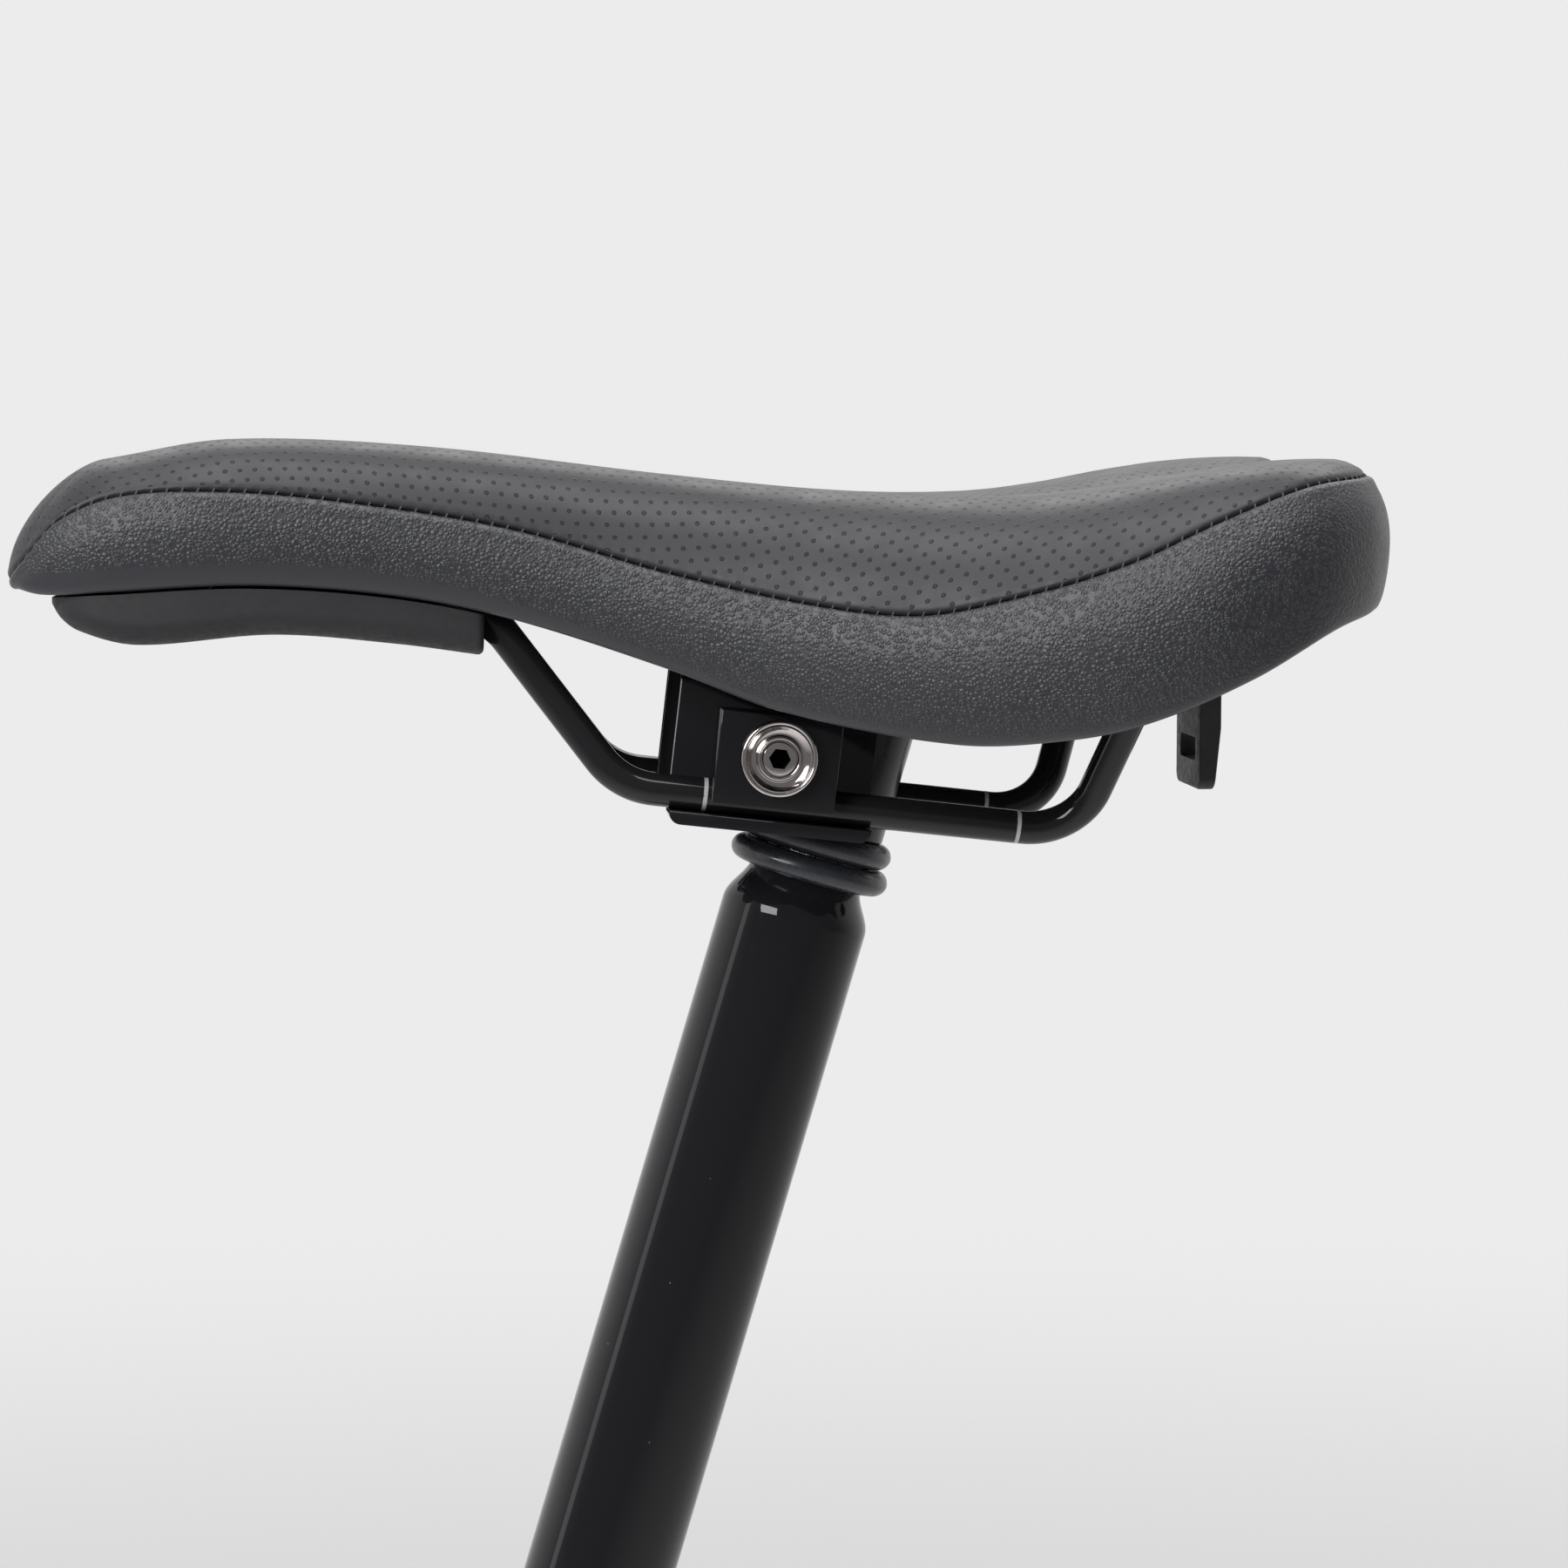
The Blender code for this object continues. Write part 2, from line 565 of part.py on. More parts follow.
def loft(name, loops, sections, closed_round):
    """Skin a row of closed section loops; closed_round joins the last section to the first.

    Every four-cornered patch is split from its inner corner on one section to its outer corner on
    the next, so that nested lofts of the same sections keep their distance.
    """
    bm = bmesh.new()
    rows = [[bm.verts.new(s.at(r, z)) for r, z in loop] for s, loop in zip(sections, loops)]
    pairs = list(zip(rows, rows[1:]))
    count = len(rows[0])
    if closed_round:
        pairs.append((rows[-1], rows[0]))
    for one, two in pairs:
        for k in range(count - 1 if closed_round else count):
            after = (k + 1) % count
            if loops[0][k][0] <= loops[0][after][0]:
                bm.faces.new((one[k], one[after], two[after]))
                bm.faces.new((one[k], two[after], two[k]))
            else:
                bm.faces.new((one[k], one[after], two[k]))
                bm.faces.new((one[after], two[after], two[k]))
    if not closed_round:
        bm.faces.new(rows[0])
        bm.faces.new(rows[-1])
    bmesh.ops.remove_doubles(bm, verts=bm.verts, dist=0.01 * MM)
    bmesh.ops.dissolve_degenerate(bm, dist=0.01 * MM, edges=bm.edges)
    return mesh_from(name, bm)


def add_saddle_body(frame, leather, side_leather, foam, plastic):
    """Sewn cover in three panels, foam pad and plastic shell, nested in each other."""
    sections = [Section(x, y) for x, y in plan_outline()]
    skins = [s.skin() for s in sections]
    cover = COVER / MM
    gap = GAP / MM

    tops = []
    side_panels = []
    pads = []
    shells = []
    for section, (top, side) in zip(sections, skins):
        seam = len(top) - 1
        outer = top + side[1:]
        inner = inset(outer, cover)
        tops.append(cut_at(outer, seam, -1, gap) + cut_at(inner, seam, -1, gap)[::-1])
        side_panels.append(cut_at(outer, seam, 1, gap) + cut_at(inner, seam, 1, gap)[::-1])
        shell = section.shell()
        pads.append(inset(outer, cover + gap) + [(r, z + gap) for r, z in reversed(shell)])
        shells.append(shell + [(r, z - SHELL / MM) for r, z in reversed(shell)])
    place("top_cover", loft("top_cover", tops, sections, True), leather, frame)
    place("foam_pad", loft("foam_pad", pads, sections, True), foam, frame)
    place("saddle_shell", loft("saddle_shell", shells, sections, True), plastic, frame)

    middle = len(OUTLINE) - 1
    around = list(range(len(sections))) + [0]
    sides = {"left": around[:middle + 1], "right": around[middle:]}
    for name, span in sides.items():
        loops = [side_panels[k] for k in span]
        mesh = loft(f"side_cover_{name}", loops, [sections[k] for k in span], False)
        sign = -1 if name == "left" else 1
        for vertex in mesh.vertices:
            if abs(vertex.co.y) < gap * MM:
                vertex.co.y = sign * gap * MM / 2
        place(f"side_cover_{name}", mesh, side_leather, frame)


def cut_at(points, seam, side, gap):
    """The points on one side of the seam, its end pulled back by half of the gap."""
    last, before = points[seam], points[seam + side]
    part = gap / 2 / math.hypot(last[0] - before[0], last[1] - before[1])
    end = (last[0] + (before[0] - last[0]) * part, last[1] + (before[1] - last[1]) * part)
    return points[:seam] + [end] if side < 0 else [end] + points[seam + 1:]


def rail_corners(side):
    """Corners of one rail, from its end in the nose to its end under the tail."""
    turn = Matrix.Rotation(RAIL_SLOPE, 3, "Y")
    front = turn @ Vector((-31.4 * MM, 0, -RAIL_DROP))
    back = turn @ Vector((65 * MM, 0, -RAIL_DROP))
    return [
        (-131 * MM, side * 8.5 * MM, 31 * MM),
        (-60.5 * MM, side * 13 * MM, 31 * MM),
        (front.x, side * RAIL_SPREAD, front.z),
        (back.x, side * RAIL_SPREAD, back.z),
        (back.x + 14.8 * MM, side * (RAIL_SPREAD + 19.5 * MM), back.z + 41 * MM),
    ]


def add_rails(frame, paint, plastic):
    """Bent rails, the socket that holds their nose ends and the cups on their tail ends."""
    for name, side in (("left", -1), ("right", 1)):
        corners = rail_corners(side)
        path = rounded_path(corners, (18 * MM, 16 * MM, 14 * MM))
        place(f"rail_{name}", tube_curve(f"rail_{name}", path, RAIL_RADIUS, 4), paint, frame)

        end = Vector(corners[-1])
        direction = (end - Vector(corners[-2])).normalized()
        hole = RAIL_RADIUS + GAP
        outer = 7 * MM
        mouth = -9 * MM
        roof = 5 * MM
        cup = [(0, GAP), (hole, GAP), (hole, mouth), (outer - MM, mouth), (outer, mouth + 2 * MM),
               (outer, roof), (0, roof)]
        mesh = turned(f"rear_socket_{name}", cup, 24)
        mesh.transform(Matrix.Translation(end) @ direction.to_track_quat("Z", "Y").to_matrix().to_4x4())
        place(f"rear_socket_{name}", mesh, plastic, frame)

    block = box_mesh((-134 * MM, -12.8 * MM, 26.7 * MM), (-117 * MM, 12.8 * MM, 34.9 * MM))
    socket = place("nose_rail_socket", block, plastic, frame)
    combine(socket, box_mesh((-131 * MM, -5 * MM, 34 * MM), (-120 * MM, 5 * MM, 46 * MM)), "UNION")
    for side in (-1, 1):
        nose_end, bend = (Vector(c) for c in rail_corners(side)[:2])
        direction = (bend - nose_end).normalized()
        bore = rod_mesh((0, 0), RAIL_RADIUS + GAP, -GAP, 30 * MM, "Z")
        bore.transform(Matrix.Translation(nose_end) @ direction.to_track_quat("Z", "Y").to_matrix().to_4x4())
        combine(socket, bore, "DIFFERENCE")


def add_grip(frame, plastic):
    """Hollow moulded grip under the nose, open above and behind."""
    front = 9.5
    back = 97
    low = [(front, 31.5), (11, 28.9), (15, 26), (27, 23.2), (55, 25.3), (80, 23.4), (back, 21.1)]
    width = [(front, 8), (13, 12.5), (20, 16), (40, 19), (back, 22.5)]

    def solid(name, shift, wall, rise):
        bm = bmesh.new()
        rows = []
        for x in (front, 11, 13, 16, 20, 27, 40, 55, 70, 85, back):
            half = smooth(width, x) - wall
            floor = smooth(low, x) + wall
            roof = smooth(SKIRT, x) + rise
            corner = min(5, half * 0.6, (roof - floor) * 0.7)
            side = arc((half - corner, floor + corner), corner, -90, 0, 3)
            other_side = [(-y, z) for y, z in reversed(side)]
            loop = side + [(half, roof), (-half, roof)] + other_side
            rows.append([bm.verts.new((NOSE_X + (x + shift) * MM, y * MM, z * MM)) for y, z in loop])
        for one, two in zip(rows, rows[1:]):
            for k in range(len(one)):
                after = (k + 1) % len(one)
                bm.faces.new((one[k], one[after], two[after], two[k]))
        bm.faces.new(rows[0])
        bm.faces.new(rows[-1])
        return mesh_from(name, bm)

    grip = place("nose_grip", solid("nose_grip", 0, 0, -0.6), plastic, frame)
    combine(grip, solid("grip_hollow", 1.6, 1.6, 4), "DIFFERENCE")


def add_bracket(frame, plastic, steel):
    """Hanging plate with a slot, screwed to the shell under the tail."""
    front = 92.2 * MM
    half = 12.25 * MM
    top = 31 * MM
    low = -9.2 * MM
    back = front + 4.7 * MM
    flange_front = front - 14 * MM
    flange_low = top - 3 * MM
    side = [(front, low), (back - 1.3 * MM, low), (back, 4 * MM), (back, top),
            (flange_front, top), (flange_front, flange_low), (front, flange_low)]
    bm = prism_bm(side, -half, half, "Y")
    soften(bm, 2.5 * MM, lambda e: is_lower_corner(e, low), 3)
    bracket = place("rear_bracket", mesh_from("rear_bracket", bm), plastic, frame)
    slot = 7.75 * MM
    slot_mesh = box_mesh((front - 5 * MM, -slot, -3.2 * MM), (back + 5 * MM, slot, 1.8 * MM))
    combine(bracket, slot_mesh, "DIFFERENCE")
    head_high = flange_low - GAP
    head_low = head_high - 2 * MM
    head = 3 * MM
    stem = 1.5 * MM
    tip = top + 0.6 * MM
    for name, y in (("left", -7 * MM), ("right", 7 * MM)):
        x = (front + flange_front) / 2
        hole = rod_mesh((x, y), stem + 0.4 * MM, flange_low - MM, top + MM, "Z", 16)
        combine(bracket, hole, "DIFFERENCE")
        profile = [(0, head_low), (head - 0.6 * MM, head_low), (head, head_low + 0.6 * MM),
                   (head, head_high), (stem, head_high), (stem, tip), (0, tip)]
        mesh = turned(f"bracket_screw_{name}", profile, 20)
        mesh.transform(Matrix.Translation((x, y, 0)))
        place(f"bracket_screw_{name}", mesh, steel, frame)


def is_lower_corner(edge, low):
    """Whether an edge runs from front to back at one of the plate's two lower corners."""
    one, two = (v.co for v in edge.verts)
    return abs(one.z - low) < MM / 10 and abs(two.z - low) < MM / 10 and abs(one.y - two.y) < MM / 10


def main():
    clear_scene()
    black = make_material("gloss_black_metal", (0.012, 0.012, 0.013), 0.12)
    paint = make_material("rail_black", (0.015, 0.015, 0.016), 0.2)
    steel = make_material("steel", (0.55, 0.56, 0.58), 0.3, 1.0)
    spring_steel = make_material("spring_steel", (0.35, 0.36, 0.38), 0.35, 1.0)
    chrome = make_material("chrome", (0.85, 0.85, 0.86), 0.06, 1.0)
    rubber = make_material("rubber", (0.02, 0.02, 0.022), 0.45)
    bushing = make_material("bushing_polymer", (0.75, 0.74, 0.7), 0.5)
    plastic = make_material("matt_plastic", (0.03, 0.03, 0.032), 0.6)
    leather = make_material("perforated_leather", (0.022, 0.023, 0.026), 0.55)
    side_leather = make_material("grained_leather", (0.03, 0.031, 0.034), 0.5)
    foam = make_material("foam", (0.12, 0.12, 0.13), 0.9)

    post_frame = make_frame("post_frame", rotation=(0, POST_LEAN, 0))
    seat_frame = make_frame("seat_frame", post_frame)
    plug_frame = make_frame("plug_frame", seat_frame)
    shaft_frame = make_frame("shaft_frame", post_frame)
    bolt_centre = (-BOLT_AHEAD, 0, BOLT_HEIGHT)
    clamp_frame = make_frame("clamp_frame", shaft_frame, bolt_centre, (0, RAIL_SLOPE - POST_LEAN, 0))
    saddle_frame = make_frame("saddle_frame", clamp_frame, rotation=(0, -RAIL_SLOPE, 0))

    add_post(post_frame, black, steel, bushing, rubber)
    add_springs(post_frame, seat_frame, plug_frame, steel, spring_steel, rubber, plastic)
    add_shaft(shaft_frame, black, steel, bushing, rubber)
    add_cradle(clamp_frame, black)
    add_outer_jaw("outer_jaw_left", -1, clamp_frame, black)
    add_outer_jaw("outer_jaw_right", 1, clamp_frame, black)
    add_clamp_bolt(clamp_frame, chrome)
    add_saddle_body(saddle_frame, leather, side_leather, foam, plastic)
    add_rails(saddle_frame, paint, plastic)
    add_grip(saddle_frame, plastic)
    add_bracket(saddle_frame, plastic, steel)


main()
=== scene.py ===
"""Looks of the suspension seatpost and its saddle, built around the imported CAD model.

Shapes are worked out in millimetres in three frames: POST runs up the leaning post from its bottom
end, CLAMP sits on the clamp bolt with its X axis along the rails, and SADDLE sits there too, but
level. The saddle's skin is one family of sections that fan out from its centre line, and the
covers, the foam, the shell and the stitches are all laid on those sections.
"""

import json
import math

import bmesh
import bpy
import numpy as np
from mathutils import Matrix, Vector


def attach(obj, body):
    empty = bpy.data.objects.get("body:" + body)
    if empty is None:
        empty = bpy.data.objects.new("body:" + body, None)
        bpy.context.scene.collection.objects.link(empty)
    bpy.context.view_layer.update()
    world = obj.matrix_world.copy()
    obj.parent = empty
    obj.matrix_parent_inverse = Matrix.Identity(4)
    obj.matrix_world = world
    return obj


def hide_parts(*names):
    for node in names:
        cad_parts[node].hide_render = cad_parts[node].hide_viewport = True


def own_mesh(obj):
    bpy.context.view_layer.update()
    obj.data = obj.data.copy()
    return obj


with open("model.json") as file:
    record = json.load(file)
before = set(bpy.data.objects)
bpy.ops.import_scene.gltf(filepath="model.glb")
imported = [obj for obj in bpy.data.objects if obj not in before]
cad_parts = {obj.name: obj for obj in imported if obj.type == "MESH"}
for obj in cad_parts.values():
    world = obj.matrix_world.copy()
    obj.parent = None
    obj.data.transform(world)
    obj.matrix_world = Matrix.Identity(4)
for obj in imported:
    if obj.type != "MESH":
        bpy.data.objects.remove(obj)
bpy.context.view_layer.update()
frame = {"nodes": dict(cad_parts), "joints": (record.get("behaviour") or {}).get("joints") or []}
joints = {joint["name"]: joint for joint in frame["joints"]}

MM = 0.001
POST_AXIS = Vector(joints["suspension_travel"]["axis"])
RAIL_AXIS = Vector(joints["saddle_setback"]["axis"])
BOLT = Vector(joints["saddle_tilt"]["pos_m"])
POST_LEAN = math.atan2(POST_AXIS.x, POST_AXIS.z)
RAIL_SLOPE = math.atan2(-RAIL_AXIS.z, RAIL_AXIS.x)
UNIT = Matrix.Scale(MM, 4)
POST = Matrix.Rotation(POST_LEAN, 4, "Y") @ UNIT
CLAMP = Matrix.Translation(BOLT) @ Matrix.Rotation(RAIL_SLOPE, 4, "Y") @ UNIT
SADDLE = Matrix.Translation(BOLT) @ UNIT

# Post and clamp, in mm.
BOLT_HEIGHT = 350
BOLT_AHEAD = 16.5
TUBE_RADIUS = 15.9
TUBE_BORE = 13.5
SHAFT_BORE_CLEARANCE = 11.4
MOUTH_HEIGHT = 326.9
MOUTH_RADIUS = 12.2
SHOULDER_LENGTH = 10.1
COLLAR_RADIUS = 13.7
COLLAR_LOW = 336.7
COLLAR_HIGH = 361
RING_SECTION = 2.72
LOWER_RING = (14.6, 328.4)
UPPER_RING = (13.8, 334.0)
SPRING_LOW = 17.6
SPRING_HIGH = 199.7
SPRING_RADIUS = 10.2
SPRING_WIRE = 1.6
SPRING_TURNS = 12
CORE_LOW = 20.6
CORE_HIGH = 200
RAIL_RADIUS = 3.5
RAIL_SPREAD = 22
RAIL_DROP = 9.7
CRADLE_BACK = 21.5
CRADLE_FRONT = -21
CRADLE_TOP = 16
CRADLE_INNER = 14.2
CRADLE_OUTER = 18
LIP_TOP = -13.4
LIP_LOW = -16.2
LIP_REACH = 26
JAW_HALF_LENGTH = 12.75
JAW_FACE = 29.6
JAW_TOP = 8.9
JAW_LOW = -10.8
BOLT_HOLE = 3.3
WASHER_SEAT = 29.9

# Saddle, in mm: lengths run back from the tip of the nose, heights from the clamp bolt.
NOSE_X = -158.8
FAN_FRONT = 22
FAN_BACK = 215
OUTLINE = [
    (0, 0), (2.5, 8.5), (8, 14), (17, 18), (35, 20.8), (60, 22.5), (90, 25), (120, 30.5),
    (150, 41), (180, 55), (205, 66.5), (228, 75), (245, 78), (262, 74.5), (274, 64),
    (281, 50), (283.5, 38), (280.5, 22), (277, 9), (275.5, 0),
]
CROWN = [(0, 58), (22, 61.8), (46, 65.5), (86, 64), (139, 58.3), (179, 54.4), (205, 53.9),
         (225, 55.8), (244, 58.9), (262, 61.2), (284, 61.6)]
SEAM = [(0, 36.2), (4, 41.5), (10, 49), (24, 54.2), (44, 55.2), (67, 53.4), (103, 47.7), (136, 38.5),
        (165, 32.3), (185, 30.7), (205, 35), (225, 41.5), (244, 49.8), (264, 56.5), (284, 58.5)]
SKIRT = [(0, 34.8), (6, 33.6), (20, 34.2), (50, 35.6), (79, 33.6), (103, 29), (136, 18.6), (158, 10.5),
         (192, 4.7), (214, 6.3), (229, 10), (249, 18.5), (268, 28), (284, 31.5)]
ROLL = [(0, 20), (60, 19), (120, 22), (180, 30), (230, 30), (262, 20), (284, 12)]
ROUNDNESS = [(0, 1.75), (40, 2.3), (284, 2.2)]
CHANNEL = [(0, 0), (110, 0), (170, 2), (220, 4), (284, 5)]
PAD = [(0, 10), (60, 14), (150, 18), (284, 20)]
CHANNEL_WIDTH = 14
SKIRT_TUCK = 2.5
# Least height of the side that the widest line is measured on, which matters only at the nose.
NOSE_SIDE = 7
SHELL_INSET = 4.2
SHELL = 2.5
COVER = 1.2
STITCH_PITCH = 3.2
# How tightly the seam is drawn together at the sections from one stitch to the next.
DRAWN_IN = (1, 0.25, 0, 0.25)


# ---------------------------------------------------------------- node materials

class Surface:
    """A material with a Principled shader, and short calls to grow its node tree."""

    def __init__(self, name, roughness, metallic=0.0, **uniform):
        self.material = bpy.data.materials.new(name)
        self.material.use_nodes = True
        self.tree = self.material.node_tree
        self.shader = self.tree.nodes["Principled BSDF"]
        self.shader.inputs["Roughness"].default_value = roughness
        self.shader.inputs["Metallic"].default_value = metallic
        for socket, value in uniform.items():
            self.shader.inputs[socket.replace("_", " ")].default_value = value
        self.place = self.add("TexCoord").outputs["Object"]

    def add(self, kind, settings=(), **inputs):
        node = self.tree.nodes.new("ShaderNode" + kind)
        for key, value in dict(settings).items():
            setattr(node, key, value)
        for key, value in inputs.items():
            self.feed(node.inputs[key], value)
        return node

    def feed(self, socket, value):
        if isinstance(value, bpy.types.NodeSocket):
            self.tree.links.new(value, socket)
        else:
            socket.default_value = value

    def math(self, operation, *values):
        node = self.add("Math", {"operation": operation})
        for socket, value in zip(node.inputs, values):
            self.feed(socket, value)
        return node.outputs[0]

    def ramp(self, value, low, high, start=0.0, end=1.0):
        """Value carried smoothly from start at low to end at high."""
        node = self.add("MapRange", {"interpolation_type": "SMOOTHSTEP"})
        for socket, number in zip(node.inputs, (value, low, high, start, end)):
            self.feed(socket, number)
        return node.outputs[0]

    def stretched(self, factors=(1, 1, 1)):
        """Coordinates in mm, squeezed or stretched along each axis."""
        node = self.add("VectorMath", {"operation": "MULTIPLY"})
        self.feed(node.inputs[0], self.place)
        node.inputs[1].default_value = [factor / MM for factor in factors]
        return node.outputs[0]

    def noise(self, size_mm, detail=3.0, roughness=0.55, source=None):
        vector = source or self.stretched()
        return self.add("TexNoise", Vector=vector, Scale=1 / size_mm, Detail=detail,
                        Roughness=roughness).outputs["Fac"]

    def cells(self, size_mm, feature="F1", source=None):
        vector = source or self.stretched()
        return self.add("TexVoronoi", {"feature": feature}, Vector=vector,
                        Scale=1 / size_mm).outputs["Distance"]

    def colours(self, factor, first, second):
        node = self.add("Mix", {"data_type": "RGBA"})
        self.feed(node.inputs[0], factor)
        node.inputs[6].default_value = (*first, 1)
        node.inputs[7].default_value = (*second, 1)
        return node.outputs[2]

    def paint(self, factor, first, second):
        self.feed(self.shader.inputs["Base Color"], self.colours(factor, first, second))

    def vary_roughness(self, factor, low, high):
        self.feed(self.shader.inputs["Roughness"], self.ramp(factor, 0.3, 0.7, low, high))

    def relief(self, *layers):
        """Bump from (height socket 0 to 1, depth in mm) layers."""
        normal = None
        for height, depth in layers:
            node = self.add("Bump", Strength=1.0, Distance=depth * MM, Height=height)
            if normal:
                self.feed(node.inputs["Normal"], normal)
            normal = node.outputs["Normal"]
        self.feed(self.shader.inputs["Normal"], normal)


def gloss_paint(name, colour, roughness):
    """Black enamel over metal, with a little orange peel, handling marks and dust."""
    s = Surface(name, roughness, IOR=1.38)
    marks = s.noise(14, 4)
    specks = s.ramp(s.cells(7), 0.012, 0.03, 1, 0)
    s.paint(specks, colour, [min(1, c * 9 + 0.05) for c in colour])
    s.vary_roughness(marks, roughness * 0.75, roughness * 1.5)
    scratches = s.noise(0.5, 2, source=s.stretched((1.0, 1.0, 0.06)))
    s.relief((s.noise(6.0, 1), 0.0015), (scratches, 0.0008))
    return s.material


def bare_metal(name, colour, roughness, grain=(1, 1, 0.05), depth=0.004):
    """Machined or drawn metal with fine lines along one direction."""
    s = Surface(name, roughness, 1.0)
    lines = s.noise(0.35, 3, source=s.stretched(grain))
    tone = s.noise(9, 3)
    s.paint(tone, [c * 0.82 for c in colour], colour)
    s.vary_roughness(lines, roughness * 0.7, roughness * 1.4)
    s.relief((lines, depth))
    return s.material


def blasted_black_and_socket_shade():
    """Black anodised metal, bead blasted so that it hardly shines, for the clamp ends; the same flat black
    also fills the bolt sockets as painted shade.
    """
    s = Surface("look_blasted_black_and_socket_shade", 0.75, Specular_IOR_Level=0.0)
    s.paint(s.noise(3, 3), (0.005, 0.005, 0.0055), (0.009, 0.009, 0.0095))
    s.relief((s.noise(0.3, 2), 0.01))
    return s.material


def chrome_plate():
    s = Surface("look_chrome", 0.07, 1.0)
    haze = s.noise(3.5, 4)
    s.paint(haze, (0.46, 0.42, 0.41), (0.60, 0.56, 0.55))
    s.vary_roughness(s.noise(1.2, 3), 0.04, 0.13)
    s.relief((s.noise(1.6, 2), 0.006), (s.noise(0.3, 2, source=s.stretched((1, 0.2, 1))), 0.0015))
    return s.material


def moulded_rubber():
    s = Surface("look_rubber", 0.3)
    bloom = s.noise(5, 5)
    s.paint(bloom, (0.013, 0.014, 0.018), (0.030, 0.031, 0.038))
    s.vary_roughness(s.noise(2.0, 4), 0.2, 0.36)
    s.relief((s.noise(0.35, 3), 0.002), (s.noise(5, 1), 0.02))
    return s.material


def moulded_plastic(name, dark, light, stipple=0.03):
    """Injection-moulded nylon with a fine spark-eroded texture."""
    s = Surface(name, 0.55, Specular_IOR_Level=0.3)
    s.paint(s.noise(11, 4), dark, light)
    s.vary_roughness(s.noise(1.5, 3), 0.48, 0.66)
    s.relief((s.noise(0.55, 3, 0.7), stipple), (s.noise(6, 2), 0.05))
    return s.material


def polymer():
    s = Surface("look_bushing_polymer", 0.5)
    s.paint(s.noise(4, 3), (0.66, 0.64, 0.58), (0.78, 0.77, 0.72))
    s.relief((s.noise(0.4, 2, source=s.stretched((1, 1, 0.1))), 0.01))
    return s.material


def grained_leather():
    """Synthetic leather with pebbled grain, which is pulled flat near the hem."""
    s = Surface("look_grained_leather", 0.42)
    pebble_size, swirl_size, swirl = 0.85, 2.4, 1.1
    warp = s.add("TexNoise", Vector=s.stretched(), Scale=1 / swirl_size, Detail=2.0)
    shift = s.add("VectorMath", {"operation": "MULTIPLY_ADD"})
    s.feed(shift.inputs[0], warp.outputs["Color"])
    shift.inputs[1].default_value = (swirl, swirl, swirl)
    s.feed(shift.inputs[2], s.stretched())
    source = shift.outputs[0]
    creases = s.ramp(s.cells(pebble_size, "DISTANCE_TO_EDGE", source), 0.0, 0.16)
    pebbles = s.math("MULTIPLY", creases, s.ramp(s.cells(pebble_size, "F1", source), 0.8, 0.1))
    flatness = s.add("Attribute", {"attribute_name": "grain"}).outputs["Fac"]
    grain = s.math("MULTIPLY", pebbles, flatness)
    # The creases between the pebbles are painted darker, as painted shade; where the grain is pulled flat
    # there are no creases and so no painted shade.
    shade = s.math("MAXIMUM", creases, s.math("SUBTRACT", 1.0, flatness))
    s.paint(shade, (0.012, 0.0125, 0.0155), (0.022, 0.0225, 0.0275))
    s.vary_roughness(s.noise(7, 3), 0.41, 0.46)
    s.relief((grain, 0.13), (s.noise(9, 2), 0.06))
    return s.material


def perforated_leather():
    """Smooth synthetic leather punched with staggered rows of small holes."""
    s = Surface("look_perforated_leather", 0.45, Specular_IOR_Level=0.3)
    flat = s.add("Attribute", {"attribute_name": "flat"}).outputs["Vector"]
    axes = s.add("SeparateXYZ", Vector=flat).outputs
    pitch, row = 3.05, 4.9
    hole_edge, rim_edge = (0.32, 0.22), (0.52, 0.34)

    def distance(offset):
        parts = []
        for axis, size in ((axes[0], pitch), (axes[1], row)):
            steps = s.math("DIVIDE", axis, size)
            inside = s.math("FRACT", s.math("ADD", steps, 100.5 + offset))
            parts.append(s.math("MULTIPLY", s.math("SUBTRACT", inside, 0.5), size))
        squares = [s.math("MULTIPLY", part, part) for part in parts]
        return s.math("SQRT", s.math("ADD", *squares))

    nearest = s.math("MINIMUM", distance(0), distance(0.5))
    inland = s.ramp(axes[2], 0.9, 1.3)
    hole = s.math("MULTIPLY", s.ramp(nearest, *hole_edge), inland)
    rim = s.math("MULTIPLY", s.ramp(nearest, *rim_edge), inland)
    # The holes are painted near black, as painted shade inside them.
    s.paint(hole, (0.0205, 0.0205, 0.023), (0.001, 0.001, 0.0013))
    s.vary_roughness(s.noise(8, 3), 0.41, 0.49)
    surface = s.math("SUBTRACT", rim, s.math("MULTIPLY", hole, 4.0))
    s.relief((surface, 0.14), (s.noise(0.45, 3), 0.012), (s.noise(10, 2), 0.06))
    return s.material


def sewing_thread():
    s = Surface("look_thread", 0.6)
    twist = s.noise(0.2, 2, source=s.stretched())
    s.paint(twist, (0.010, 0.010, 0.011), (0.024, 0.024, 0.025))
    s.relief((twist, 0.03))
    return s.material


def foam():
    s = Surface("look_foam", 0.95, Sheen_Weight=0.2)
    pores = s.cells(0.8)
    # The pits of the pores are painted darker, as painted shade in them.
    s.paint(pores, (0.05, 0.05, 0.055), (0.14, 0.14, 0.15))
    s.relief((pores, 0.15))
    return s.material


def mark_paint():
    """White limit marks printed on the rails, a little rubbed."""
    s = Surface("look_mark_white", 0.4)
    s.paint(s.ramp(s.noise(0.9, 3), 0.62, 0.72), (0.40, 0.40, 0.40), (0.06, 0.06, 0.06))
    s.relief((s.noise(0.4, 2), 0.01))
    return s.material


# ---------------------------------------------------------------- mesh tools

def to_mesh(name, bm):
    bmesh.ops.recalc_face_normals(bm, faces=bm.faces)
    mesh = bpy.data.meshes.new(name)
    bm.to_mesh(mesh)
    bm.free()
    return mesh


